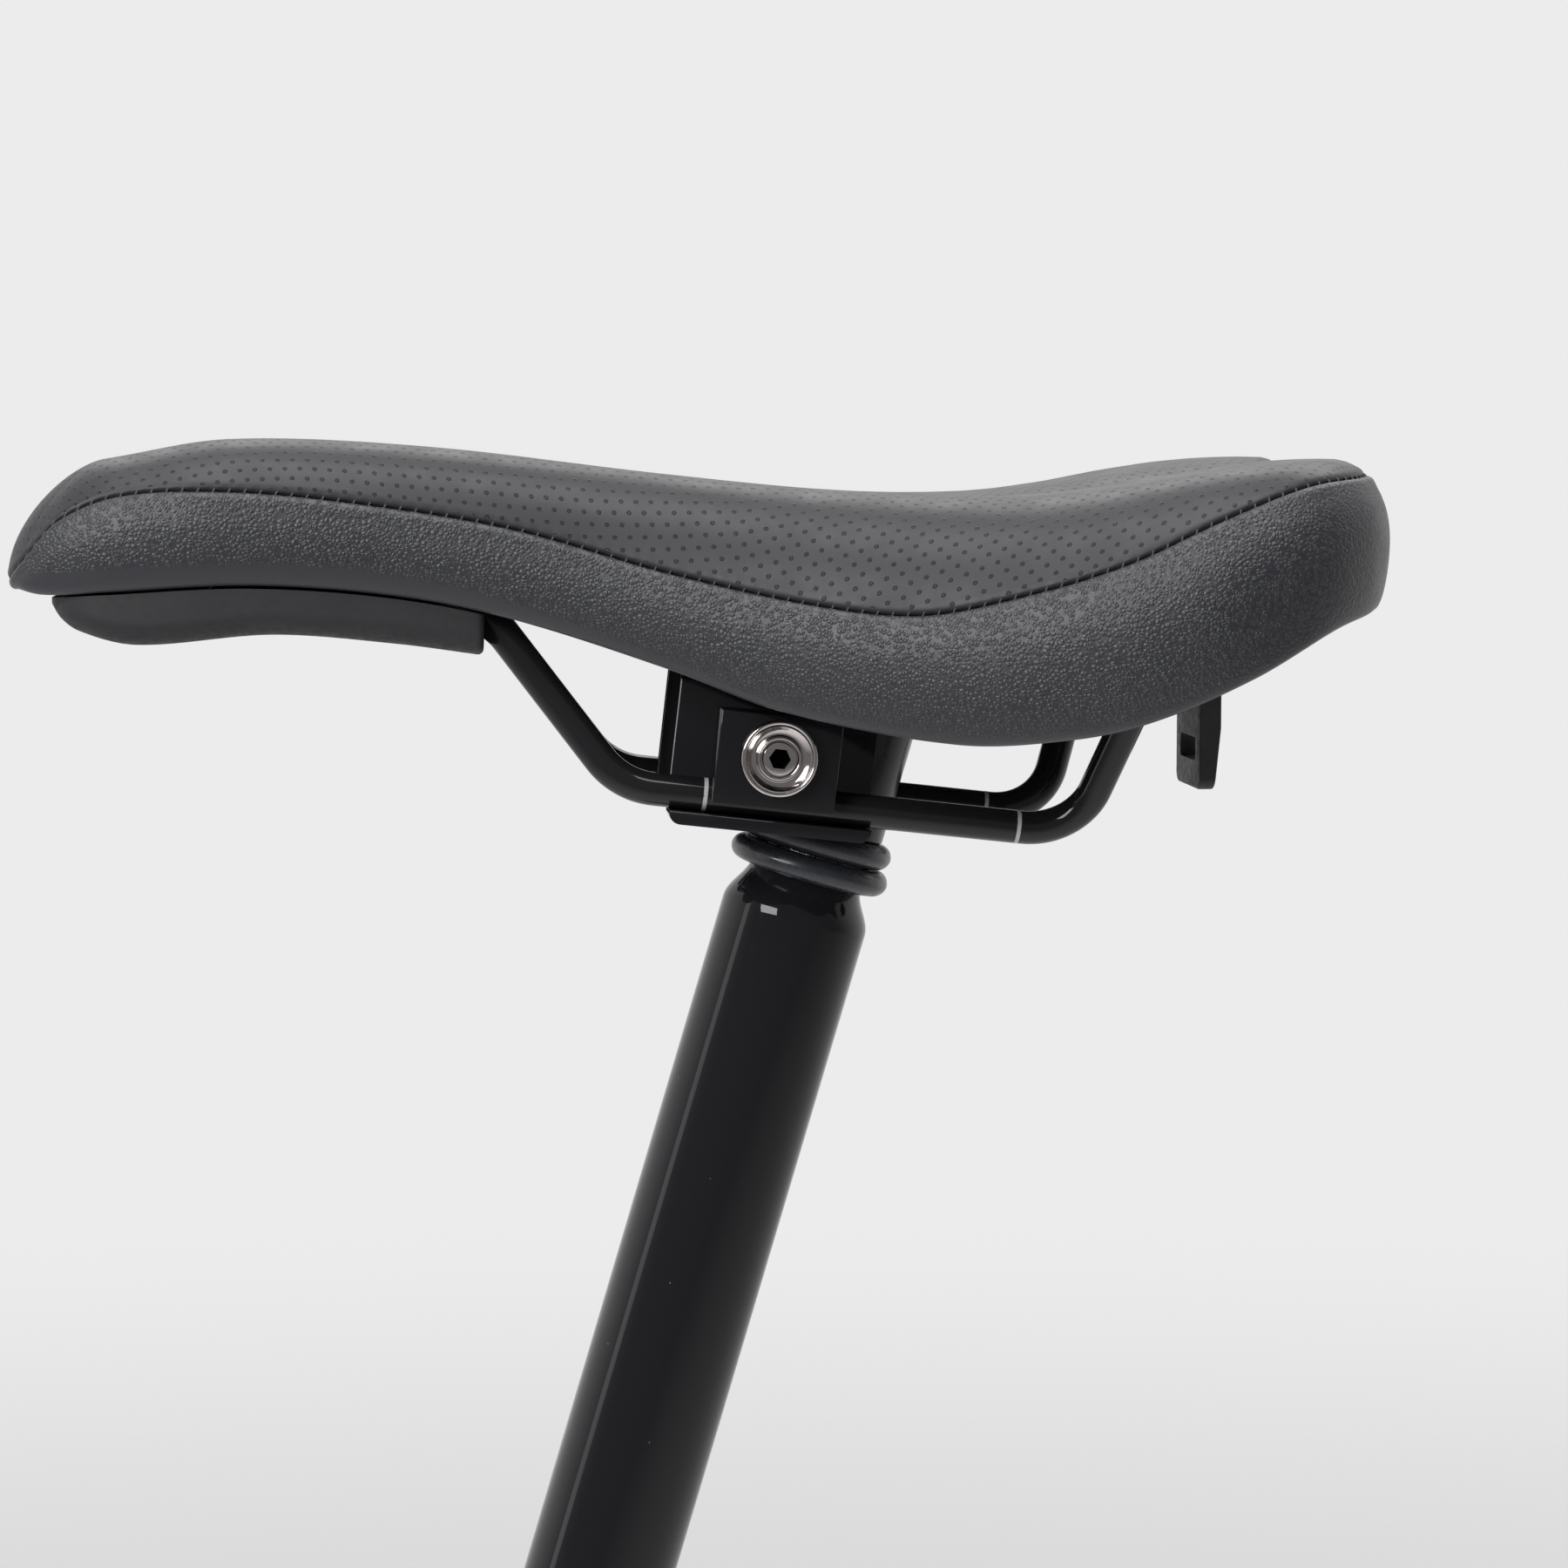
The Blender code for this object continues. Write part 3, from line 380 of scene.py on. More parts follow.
def show(name, mesh, place, body, material, stands_for=(), sharp=35):
    """Make one piece of the visual model from a mesh in mm in the given frame."""
    mesh.transform(place)
    if place.determinant() < 0:
        mesh.flip_normals()
    mesh.materials.append(material)
    mesh.shade_smooth()
    mesh.set_sharp_from_angle(angle=math.radians(sharp))
    piece = bpy.data.objects.new(name, mesh)
    bpy.context.scene.collection.objects.link(piece)
    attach(piece, body)
    if stands_for:
        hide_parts(*stands_for)
    return piece


def bridge(bm, rings, gap=0):
    """Faces from each ring of vertices to the next; a gap leaves that many sides of a ring open."""
    count = len(rings[0])
    for one, two in zip(rings, rings[1:]):
        for k in range(count - gap):
            after = (k + 1) % count
            bm.faces.new((one[k], one[after], two[after], two[k]))


def cap(bm, rings):
    """Faces that close the first ring and the last."""
    bm.faces.new(rings[0])
    bm.faces.new(rings[-1])


def ring_about(bm, centre, side, up, radius, count):
    """Ring of vertices about a centre, in the plane of two directions."""
    ring = []
    for k in range(count):
        angle = 2 * math.pi * k / count
        ring.append(bm.verts.new(centre + (side * math.cos(angle) + up * math.sin(angle)) * radius))
    return ring


def turned(profile, segments=96):
    """Profile of (radius, height) points turned about Z; a profile off the axis is a closed loop."""
    bm = bmesh.new()
    rings = []
    angles = [2 * math.pi * k / segments for k in range(segments)]
    for radius, height in profile:
        if radius == 0:
            rings.append([bm.verts.new((0, 0, height))])
        else:
            rings.append([bm.verts.new((radius * math.cos(a), radius * math.sin(a), height)) for a in angles])
    pairs = list(zip(rings, rings[1:]))
    if profile[0][0] and profile[-1][0]:
        pairs.append((rings[-1], rings[0]))
    for low, high in pairs:
        for k in range(segments):
            after = k + 1
            corners = [low[k % len(low)], low[after % len(low)], high[after % len(high)], high[k % len(high)]]
            corners = list(dict.fromkeys(corners))
            if len(corners) > 2:
                bm.faces.new(corners)
    return to_mesh("turned", bm)


def arc(centre, radius, start, end, steps):
    angles = [math.radians(start + (end - start) * k / steps) for k in range(steps + 1)]
    return [(centre[0] + radius * math.cos(a), centre[1] + radius * math.sin(a)) for a in angles]


def prism_bm(outline, low, high, axis):
    """Outline extruded along an axis; its points are the two other axes in X, Y, Z order."""
    bm = bmesh.new()
    index = "XYZ".index(axis)
    layers = []
    for along in (low, high):
        layer = []
        for point in outline:
            corner = list(point)
            corner.insert(index, along)
            layer.append(bm.verts.new(corner))
        bm.faces.new(layer)
        layers.append(layer)
    bridge(bm, layers)
    bmesh.ops.recalc_face_normals(bm, faces=bm.faces)
    return bm


def soften(bm, width, chosen=lambda one, two: True, segments=3):
    """Round the sharp edges whose two ends chosen() accepts."""
    edges = [edge for edge in bm.edges if edge.calc_face_angle(0) > math.radians(38)
             and chosen(*(vertex.co for vertex in edge.verts))]
    bmesh.ops.bevel(bm, geom=edges, offset=width, segments=segments, affect="EDGES", profile=0.5,
                    clamp_overlap=True)


def prism(outline, low, high, axis):
    return to_mesh("prism", prism_bm(outline, low, high, axis))


def block(low, high):
    outline = [(low[0], low[1]), (high[0], low[1]), (high[0], high[1]), (low[0], high[1])]
    return prism(outline, low[2], high[2], "Z")


def rod(centre, radius, low, high, axis, segments=64):
    return prism(arc(centre, radius, 0, 360, segments)[:-1], low, high, axis)


def carve(mesh, *steps):
    """Cut meshes out of a mesh or unite them with it."""
    body = bpy.data.objects.new("carved", mesh)
    bpy.context.scene.collection.objects.link(body)
    helpers = []
    for operation, other in steps:
        helper = bpy.data.objects.new("helper", other)
        bpy.context.scene.collection.objects.link(helper)
        helpers.append(helper)
        modifier = body.modifiers.new(operation, "BOOLEAN")
        modifier.operation = operation
        modifier.object = helper
    bpy.context.view_layer.update()
    evaluated = body.evaluated_get(bpy.context.evaluated_depsgraph_get())
    result = bpy.data.meshes.new_from_object(evaluated)
    for extra in [body, *helpers]:
        bpy.data.objects.remove(extra)
    return result


def swept(path, radius, segments):
    """Round bar along a list of points."""
    bm = bmesh.new()
    points = [Vector(p) for p in path]
    side = None
    rings = []
    for k, point in enumerate(points):
        ahead = points[min(k + 1, len(points) - 1)] - points[max(k - 1, 0)]
        ahead.normalize()
        if side is None:
            side = ahead.orthogonal().normalized()
        side = (side - ahead * side.dot(ahead)).normalized()
        rings.append(ring_about(bm, point, side, ahead.cross(side), radius, segments))
    bridge(bm, rings)
    cap(bm, rings)
    return to_mesh("swept", bm)


def rounded_path(corners, radii, steps=18):
    """Straight runs between corners, each inner corner rounded by its bend radius."""
    path = [Vector(corners[0])]
    for before, corner, after, radius in zip(corners, corners[1:], corners[2:], radii):
        corner = Vector(corner)
        back = (Vector(before) - corner).normalized()
        ahead = (Vector(after) - corner).normalized()
        half = back.angle(ahead) / 2
        centre = corner + (back + ahead).normalized() * radius / math.sin(half)
        start = (corner + back * radius / math.tan(half) - centre).normalized()
        end = (corner + ahead * radius / math.tan(half) - centre).normalized()
        for k in range(steps + 1):
            path.append(centre + start.slerp(end, k / steps) * radius)
    path.append(Vector(corners[-1]))
    return path


# ---------------------------------------------------------------- post and suspension

def build_post(look):
    """Outer tube with its drawn-in mouth, and the two bump rings on it."""
    steps = 28
    lip_height = 0.5
    shoulder = []
    for part in np.linspace(0, 1, steps + 1):
        swell = (TUBE_RADIUS - MOUTH_RADIUS) * (1 + math.cos(math.pi * part)) / 2
        height = MOUTH_HEIGHT - SHOULDER_LENGTH * (1 - part) - lip_height * part
        shoulder.append((MOUTH_RADIUS + swell, height))
    bore = SHAFT_BORE_CLEARANCE
    lip = [(MOUTH_RADIUS - 0.15, MOUTH_HEIGHT - 0.15), (MOUTH_RADIUS - 0.4, MOUTH_HEIGHT),
           (bore, MOUTH_HEIGHT)]
    inside = [(bore, 324.6), (TUBE_BORE, 320.3), (TUBE_BORE, 0.4), (TUBE_BORE + 0.4, 0)]
    foot = [(TUBE_RADIUS - 0.6, 0), (TUBE_RADIUS - 0.17, 0.17), (TUBE_RADIUS, 0.6)]
    wall = [(TUBE_RADIUS, 40 * k) for k in range(1, 8)]
    mesh = turned(foot + wall + shoulder + lip + inside, 160)
    show("post_tube", mesh, POST, "post", look["paint"], ["outer_tube"])

    for name, (radius, height), body, anchor in (
            ("ring_lower", LOWER_RING, "post", LOWER_RING[1] - RING_SECTION),
            ("ring_upper", UPPER_RING, "shaft", UPPER_RING[1] + RING_SECTION)):
        section = []
        for k in range(40):
            angle = 2 * math.pi * k / 40
            flash = 0.05 * math.exp(-(math.sin(angle) * 7) ** 2) if math.cos(angle) > 0 else 0
            reach = RING_SECTION + flash
            section.append((radius + reach * math.cos(angle), height + reach * math.sin(angle)))
        node = name.replace("ring", "bump_ring")
        piece = show(name, turned(section, 120), POST, body, look["rubber"], [node])
        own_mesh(piece)


def build_springs(look):
    """Coil spring and elastomer core inside the tube; the real ones shorten as the post sinks, but these are
    built at one length.
    """
    low = SPRING_LOW + SPRING_WIRE
    high = SPRING_HIGH - SPRING_WIRE
    steps = SPRING_TURNS * 28
    coil = []
    for k in range(steps + 1):
        angle = 2 * math.pi * SPRING_TURNS * k / steps
        along = low + (high - low) * k / steps
        coil.append((SPRING_RADIUS * math.cos(angle), SPRING_RADIUS * math.sin(angle), along))
    spring = show("coil_spring", swept(coil, SPRING_WIRE, 12), POST, "post", look["spring"],
                  ["main_spring"])
    radius, edge, groove = 6.5, 0.4, 0.5
    profile = [(0, CORE_LOW), (radius - edge, CORE_LOW), (radius, CORE_LOW + edge)]
    for k in range(1, 24):
        along = CORE_LOW + (CORE_HIGH - CORE_LOW) * k / 24
        profile.append((radius - groove * (k % 2), along))
    profile += [(radius, CORE_HIGH - edge), (radius - edge, CORE_HIGH), (0, CORE_HIGH)]
    core = show("elastomer", turned(profile, 48), POST, "post", look["rubber"],
                ["elastomer_core"])
    for piece in (spring, core):
        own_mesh(piece)


def build_collar(look):
    """Collar on the inner shaft with two ears that carry the clamp bolt."""
    edge = 0.5
    bore = SHAFT_BORE_CLEARANCE
    ring = [(bore, COLLAR_LOW), (COLLAR_RADIUS - edge, COLLAR_LOW), (COLLAR_RADIUS, COLLAR_LOW + edge),
            (COLLAR_RADIUS, COLLAR_HIGH - edge), (COLLAR_RADIUS - edge, COLLAR_HIGH), (bore, COLLAR_HIGH)]
    ear = 9.3
    ear_reach = 13.3
    ear_root = -9
    outline = [(ear_root, BOLT_HEIGHT + ear)] + arc((-BOLT_AHEAD, BOLT_HEIGHT), ear, 90, 270, 32)
    outline.append((ear_root, BOLT_HEIGHT - ear))
    bm = prism_bm(outline, -ear_reach, ear_reach, "Y")
    soften(bm, edge, lambda one, two: abs(one.y - two.y) < 0.1)
    mesh = carve(
        turned(ring, 128),
        ("UNION", to_mesh("ears", bm)),
        ("DIFFERENCE", rod((0, 0), bore, COLLAR_LOW - 1, COLLAR_HIGH + 1, "Z", 128)),
        ("DIFFERENCE", block((-30, -1.2, COLLAR_LOW - 1), (ear_root, 1.2, COLLAR_HIGH + 1))),
        ("DIFFERENCE", rod((-BOLT_AHEAD, BOLT_HEIGHT), BOLT_HOLE, -LIP_REACH, LIP_REACH, "Y")))
    show("collar", mesh, POST, "shaft", look["satin"], ["clamp_collar"])


# ---------------------------------------------------------------- rail clamp

def build_cradle(look):
    """U-shaped inner jaw: two stepped walls with a lip under each rail and a wall in front."""
    wall_low = -12.9
    lip_root = 17
    step_out = CRADLE_OUTER - 0.6
    step_low = CRADLE_TOP - 2.4

    def is_lip_end(one, two):
        return max(abs(one.z - LIP_LOW), abs(two.z - LIP_LOW)) < 0.1 and abs(one.y - two.y) > 1

    def is_lip_rim(one, two):
        return min(one.z, two.z) > LIP_TOP - 0.1 and min(abs(one.y), abs(two.y)) > LIP_REACH - 0.1

    def is_front_corner(one, two):
        outside = min(abs(one.y), abs(two.y)) > CRADLE_OUTER - 1
        return outside and max(one.x, two.x) < CRADLE_FRONT + 0.1 and abs(one.z - two.z) > 1

    walls = []
    for side in (-1, 1):
        section = [
            (CRADLE_INNER, wall_low), (CRADLE_INNER, CRADLE_TOP), (step_out, CRADLE_TOP),
            (step_out, step_low), (CRADLE_OUTER, step_low), (CRADLE_OUTER, LIP_TOP),
            (LIP_REACH, LIP_TOP), (LIP_REACH, LIP_LOW), (lip_root, LIP_LOW), (lip_root, wall_low),
        ]
        bm = prism_bm([(side * y, z) for y, z in section], CRADLE_FRONT, CRADLE_BACK, "X")
        soften(bm, 2.5, is_lip_end, 8)
        soften(bm, 1.1, is_lip_rim, 5)
        soften(bm, 0.6, is_front_corner, 1)
        soften(bm, 0.22)
        walls.append(to_mesh("wall", bm))
    front = block((CRADLE_FRONT + 0.1, -15.5, -12.7), (CRADLE_FRONT + 3.5, 15.5, CRADLE_TOP - 0.2))
    mesh = carve(walls[0], ("UNION", walls[1]), ("UNION", front),
                 ("DIFFERENCE", rod((0, 0), BOLT_HOLE, -JAW_FACE, JAW_FACE, "Y")))
    piece = show("cradle", mesh, CLAMP, "rail_clamp", look["paint"], ["rail_cradle"])
    finish_ends(piece, look["blasted_and_socket_shade"], look["steel"])


def finish_ends(piece, blasted_and_socket_shade, bare):
    """Blasted faces at a clamp piece's ends, and bare metal where its front corners are cut."""
    piece.data.materials.append(blasted_and_socket_shade)
    piece.data.materials.append(bare)
    for polygon in piece.data.polygons:
        ahead = -polygon.normal.dot(RAIL_AXIS)
        if abs(ahead) > 0.98 and polygon.area > 4 * MM * MM:
            polygon.material_index = 1
        elif 0.6 < ahead < 0.8 and abs(polygon.normal.y) > 0.6:
            polygon.material_index = 2


def build_jaws(look):
    """Square plates outside the rails, each with a block that bears on its rail from above."""
    inner = CRADLE_OUTER + 0.4
    groove = RAIL_RADIUS + 0.3
    for name, side in (("left", -1), ("right", 1)):
        section = [(inner, JAW_TOP), (JAW_FACE, JAW_TOP), (JAW_FACE, JAW_LOW),
                   (RAIL_SPREAD + groove, JAW_LOW)]
        section += arc((RAIL_SPREAD, -RAIL_DROP), groove, 0, 90, 14) + [(inner, -RAIL_DROP + groove)]
        bm = prism_bm([(side * y, z) for y, z in section], -JAW_HALF_LENGTH, JAW_HALF_LENGTH, "X")
        soften(bm, 0.3)
        ends = sorted((side * CRADLE_INNER, side * (JAW_FACE + 1)))
        mesh = carve(to_mesh("jaw", bm), ("DIFFERENCE", rod((0, 0), BOLT_HOLE, *ends, "Y")))
        show(f"jaw_{name}", mesh, CLAMP, "rail_clamp", look["paint"], [f"outer_jaw_{name}"])


def build_bolt(look):
    """Cross bolt, the screw in its far end and a dished chrome washer under each head."""
    outward = {"left": Matrix.Rotation(math.pi / 2, 4, "X"), "right": Matrix.Rotation(-math.pi / 2, 4, "X")}
    rim = arc((7.45, 1.8), 0.52, 0, 150, 12)
    bowl = [(7.0 - 0.2 * k, 1.98 - 1.05 * math.sin(math.pi / 2 * k / 10)) for k in range(1, 11)]
    hub = arc((4.25, 1.7), 0.38, 20, 170, 10)
    dish = [(3.25, 0), (7.6, 0), (7.85, 0.12), (7.97, 0.4)] + rim + bowl
    dish += [(4.85, 0.98), (4.72, 1.2), (4.65, 1.5)] + hub + [(3.85, 1.5), (3.8, 0.7), (3.25, 0.7)]
    head_low = WASHER_SEAT + 1
    head_high = head_low + 1.3
    socket_radius = 2.3
    head = [(3.55, head_low), (3.55, head_high - 0.35), (3.45, head_high - 0.1), (3.2, head_high)]
    far_end = -29.2
    shank = [(0, -15), (1.9, -15), (1.9, far_end), (2.7, far_end), (3, far_end + 0.3), (3, head_low)]
    screw = [(0, 17), (1.6, 17), (1.6, head_low)]
    profiles = {
        "left": ("cross_bolt", "clamp_bolt", shank + head + [(0, head_high)], head_low - 3.2),
        "right": ("end_screw", "clamp_end_screw", screw + head + [(0, head_high)], head_low + 0.2),
    }
    for side, turn in outward.items():
        washer = turned([(radius, WASHER_SEAT + rise) for radius, rise in dish], 128)
        show(f"washer_{side}", washer, CLAMP @ turn, "rail_clamp", look["chrome"],
             [f"cup_washer_{side}"], 50)
        name, node, profile, socket_low = profiles[side]
        socket = prism(arc((0, 0), socket_radius, 0, 360, 6)[:-1], socket_low, head_high + 1, "Z")
        mesh = carve(turned(profile, 64), ("DIFFERENCE", socket))
        socket_shade_faces = [p.center.xy.length < socket_radius + 0.1
                     and socket_low - 0.1 < p.center.z < head_high - 0.05 for p in mesh.polygons]
        piece = show(name, mesh, CLAMP @ turn, "rail_clamp", look["chrome"], [node])
        # The faces inside each hex socket take the flat black, as painted shade in the socket.
        piece.data.materials.append(look["blasted_and_socket_shade"])
        for polygon, inside in zip(piece.data.polygons, socket_shade_faces):
            polygon.material_index = int(inside)


# ---------------------------------------------------------------- saddle sections

def cubic(t, start, end, m0, m1):
    """Curve from start to end as t runs from 0 to 1, with the slopes m0 and m1 at its ends."""
    rise = end - start
    return start + t * m0 + t * t * (3 * rise - 2 * m0 - m1) + t ** 3 * (m0 + m1 - 2 * rise)


def smooth(points, x):
    """Smooth curve through (x, value) points, level beyond its ends, for one x or an array."""
    xs, ys = np.array(points, float).T
    slopes = np.gradient(ys, xs)
    slopes[1:-1] = (ys[2:] - ys[:-2]) / (xs[2:] - xs[:-2])
    x = np.clip(x, xs[0], xs[-1])
    k = np.clip(np.searchsorted(xs, x, side="right") - 1, 0, len(xs) - 2)
    span = xs[k + 1] - xs[k]
    return cubic((x - xs[k]) / span, ys[k], ys[k + 1], slopes[k] * span, slopes[k + 1] * span)


def half_outline(steps_per_span=60):
    """Dense smooth plan curve of the right side, from the nose tip to the middle of the tail."""
    points = np.array(OUTLINE, float)
    mirrored = points * (1, -1)
    padded = np.vstack([mirrored[1], points, mirrored[-2]])
    curve = []
    t = np.linspace(0, 1, steps_per_span, endpoint=False)[:, None]
    for k in range(1, len(padded) - 2):
        before, here, after = np.diff(padded[k - 1:k + 3], axis=0)
        one, two, three = [max(np.linalg.norm(step), 1e-6) ** 0.5 for step in (before, here, after)]
        m0 = here + two * (before / one - (before + here) / (one + two))
        m1 = here + two * (after / three - (here + after) / (two + three))
        curve.append(cubic(t, padded[k], padded[k + 1], m0, m1))
    return np.vstack(curve + [points[-1:]])


class Section:
    """Vertical section of the saddle from its centre line out to one outline point, in mm."""

    def __init__(self, x, y):
        self.start = min(max(x, FAN_FRONT), FAN_BACK)
        self.run = np.array([x - self.start, y])
        self.reach = float(np.hypot(*self.run))
        self.roll = min(float(smooth(ROLL, x)), 0.95 * self.reach)
        self.seam = min(float(smooth(SEAM, x)), float(self.crown(self.reach - self.roll)) - 3)
        self.bottom = float(smooth(SKIRT, x))
        self.widest = self.bottom + 0.45 * max(self.seam - self.bottom, NOSE_SIDE)
        self.power = float(smooth(ROUNDNESS, x))
        self.trace_skin()

    def crown(self, radius):
        part = radius / self.reach
        x = self.start + part * self.run[0]
        channel = smooth(CHANNEL, x) * np.exp(-(part * self.run[1] / CHANNEL_WIDTH) ** 2)
        return smooth(CROWN, x) - channel

    def trace_skin(self):
        """The skin as radius and height against the length along it, and where the seam is."""
        flat = self.reach - self.roll
        turn = np.linspace(0, math.pi / 2, 90)
        radius = np.concatenate([np.linspace(0, flat, 50, endpoint=False), flat + self.roll * np.sin(turn)])
        part = np.clip((radius - flat) / self.roll, 0, 1)
        fall = (1 - part ** self.power) ** (1 / self.power)
        height = self.widest + (self.crown(radius) - self.widest) * fall
        tuck = np.linspace(0, math.pi / 2, 30)[1:]
        radius = np.concatenate([radius, self.reach - SKIRT_TUCK * (1 - np.cos(tuck))])
        height = np.concatenate([height, self.widest - (self.widest - self.bottom) * np.sin(tuck)])
        self.length = np.concatenate([[0], np.cumsum(np.hypot(np.diff(radius), np.diff(height)))])
        self.radius = radius
        self.height = height
        below = int(np.argmax((height < self.seam) & (radius > flat)))
        share = (height[below - 1] - self.seam) / (height[below - 1] - height[below])
        self.seam_at = self.length[below - 1] + share * (self.length[below] - self.length[below - 1])

    def skin(self, along, lift=0.0):
        """Points (radius, height) at lengths along the skin, moved outwards by lift."""
        along = np.asarray(along, float)
        step = 0.35

        def trace(place):
            return np.interp(place, self.length, self.radius), np.interp(place, self.length, self.height)

        radius, height = trace(along)
        ahead, behind = trace(along + step), trace(along - step)
        dr = ahead[0] - behind[0]
        dz = np.where(along < step, 0, ahead[1] - behind[1])
        size = np.maximum(np.hypot(dr, dz), 1e-9)
        return np.stack([radius - dz / size * lift, height + dr / size * lift], axis=-1)

    def shell(self, parts):
        """Upper face of the plastic shell at shares of its width."""
        edge = self.reach - SKIRT_TUCK - SHELL_INSET
        radius = parts * edge
        middle = self.crown(radius) - smooth(PAD, self.start + parts * self.run[0])
        drop = parts ** 4
        return np.stack([radius, middle * (1 - drop) + (self.bottom + SHELL + 1.0) * drop], axis=-1)

    def at(self, points):
        """Places in the saddle's frame of (radius, height) points."""
        part = points[:, :1] / self.reach
        return np.hstack([NOSE_X + self.start + part * self.run[0], part * self.run[1], points[:, 1:]])

    def seam_point(self):
        return self.at(self.skin([self.seam_at]))[0]


def saddle_sections():
    """Sections all the way round, a few to each stitch along the seam: right side, then left."""
    curve = half_outline()
    seam = np.array([Section(x, y).seam_point() for x, y in curve])
    length = np.concatenate([[0], np.cumsum(np.linalg.norm(np.diff(seam, axis=0), axis=1))])
    count = len(DRAWN_IN) * round(length[-1] / STITCH_PITCH)
    stations = np.linspace(0, length[-1], count + 1)
    xs = np.interp(stations, length, curve[:, 0])
    ys = np.interp(stations, length, curve[:, 1])
    right = [Section(x, y) for x, y in zip(xs, ys)]
    left = [Section(x, -y) for x, y in zip(xs[1:-1], ys[1:-1])]
    return right + left[::-1]


def lofted(name, loops, closed_round, flats=None, grains=None):
    """Skin of a row of section loops, all of one length, as a closed mesh."""
    bm = bmesh.new()
    flat_layer = bm.verts.layers.float_vector.new("flat") if flats is not None else None
    grain_layer = bm.verts.layers.float.new("grain") if grains is not None else None
    rows = []
    for i, loop in enumerate(loops):
        row = []
        for j, point in enumerate(loop):
            vertex = bm.verts.new(point)
            if flat_layer:
                vertex[flat_layer] = flats[i][j]
            if grain_layer:
                vertex[grain_layer] = grains[i][j]
            row.append(vertex)
        rows.append(row)
    if closed_round:
        bridge(bm, rows + rows[:1], gap=1)
    else:
        bridge(bm, rows)
        cap(bm, rows)
    bmesh.ops.remove_doubles(bm, verts=bm.verts, dist=1e-4)
    return to_mesh(name, bm)


# ---------------------------------------------------------------- saddle covers

# How far, in mm, the perforated sheet is pulled outwards where the saddle widens.
DRAWN_OUT = 12
NEAR_SEAM = np.array([0, 0.15, 0.35, 0.6, 0.9, 1.3, 1.8, 2.5, 3.5, 5, 7])


def top_edge_lift(distance, drawn_in):
    """How far the top panel stands proud near the seam, rolling into it least where drawn in."""
    roll = (0.8 * drawn_in - 1.0) * np.exp(-(distance / 0.34) ** 1.5)
    swell = 0.16 * np.exp(-((distance - 1.6) / 1.0) ** 2)
    return roll + swell - 0.24 * drawn_in * np.exp(-distance / 1.0)


def side_edge_lift(distance, drawn_in):
    """The side panel's edge does the same, with a fuller roll just under the seam."""
    roll = (0.8 * drawn_in - 1.0) * np.exp(-(distance / 0.3) ** 1.5)
    swell = 0.34 * np.exp(-((distance - 1.7) / 1.15) ** 2)
    return roll + swell - 0.26 * drawn_in * np.exp(-distance / 1.1)


def ripple(point, size, seed):
    """Slow waves in the padding, from a few crossed sine waves, between -1 and 1."""
    x, y, z = point[..., 0], point[..., 1], point[..., 2]
    first = np.sin((x + 0.6 * z) / size + seed) * np.cos((y - 0.5 * z) / (0.8 * size) + 2 * seed)
    second = np.sin((0.7 * x - y + z) / (0.55 * size) + 3 * seed)
    return 0.65 * first + 0.35 * second


def build_top_panel(sections, look):
    """Perforated top panel: a crowned skin whose edge rolls over into the seam all round."""
    loops = []
    flats = []
    for k, section in enumerate(sections):
        drawn_in = DRAWN_IN[k % len(DRAWN_IN)]
        inner_end = section.seam_at - NEAR_SEAM[-1]
        along = np.concatenate([inner_end * np.linspace(0, 1, 26)[:-1], section.seam_at - NEAR_SEAM[::-1]])
        distance = section.seam_at - along
        rest = section.at(section.skin(along))
        lift = top_edge_lift(distance, drawn_in)
        lift = lift + 0.18 * ripple(rest, 16, 0.7) * np.clip(distance / 8, 0, 1) * np.clip(along / 10, 0, 1)
        outer = section.skin(along, lift)
        outer[-1, 0] -= 0.06
        back = np.concatenate([section.seam_at - np.array([0.2, 2.0, 6.0]),
                               inner_end * np.linspace(0.92, 0, 7)])
        inner = section.skin(back, np.where(back > section.seam_at - 1, -1.3, -COVER))
        loops.append(section.at(np.vstack([outer, inner])))
        along_all = np.concatenate([along, back])
        direction = section.run / section.reach
        ahead = section.start + along_all * direction[0]
        beside = along_all * direction[1]
        beside = beside - DRAWN_OUT * np.interp(ahead, (60, 150), (0, 1)) * np.tanh(beside / 35)
        flats.append(np.stack([ahead, beside, section.seam_at - along_all], axis=-1))
    mesh = lofted("top_panel", loops, True, flats=flats)
    piece = show("top_panel", mesh, SADDLE, "saddle", look["perforated"], ["top_cover"],
                 60)


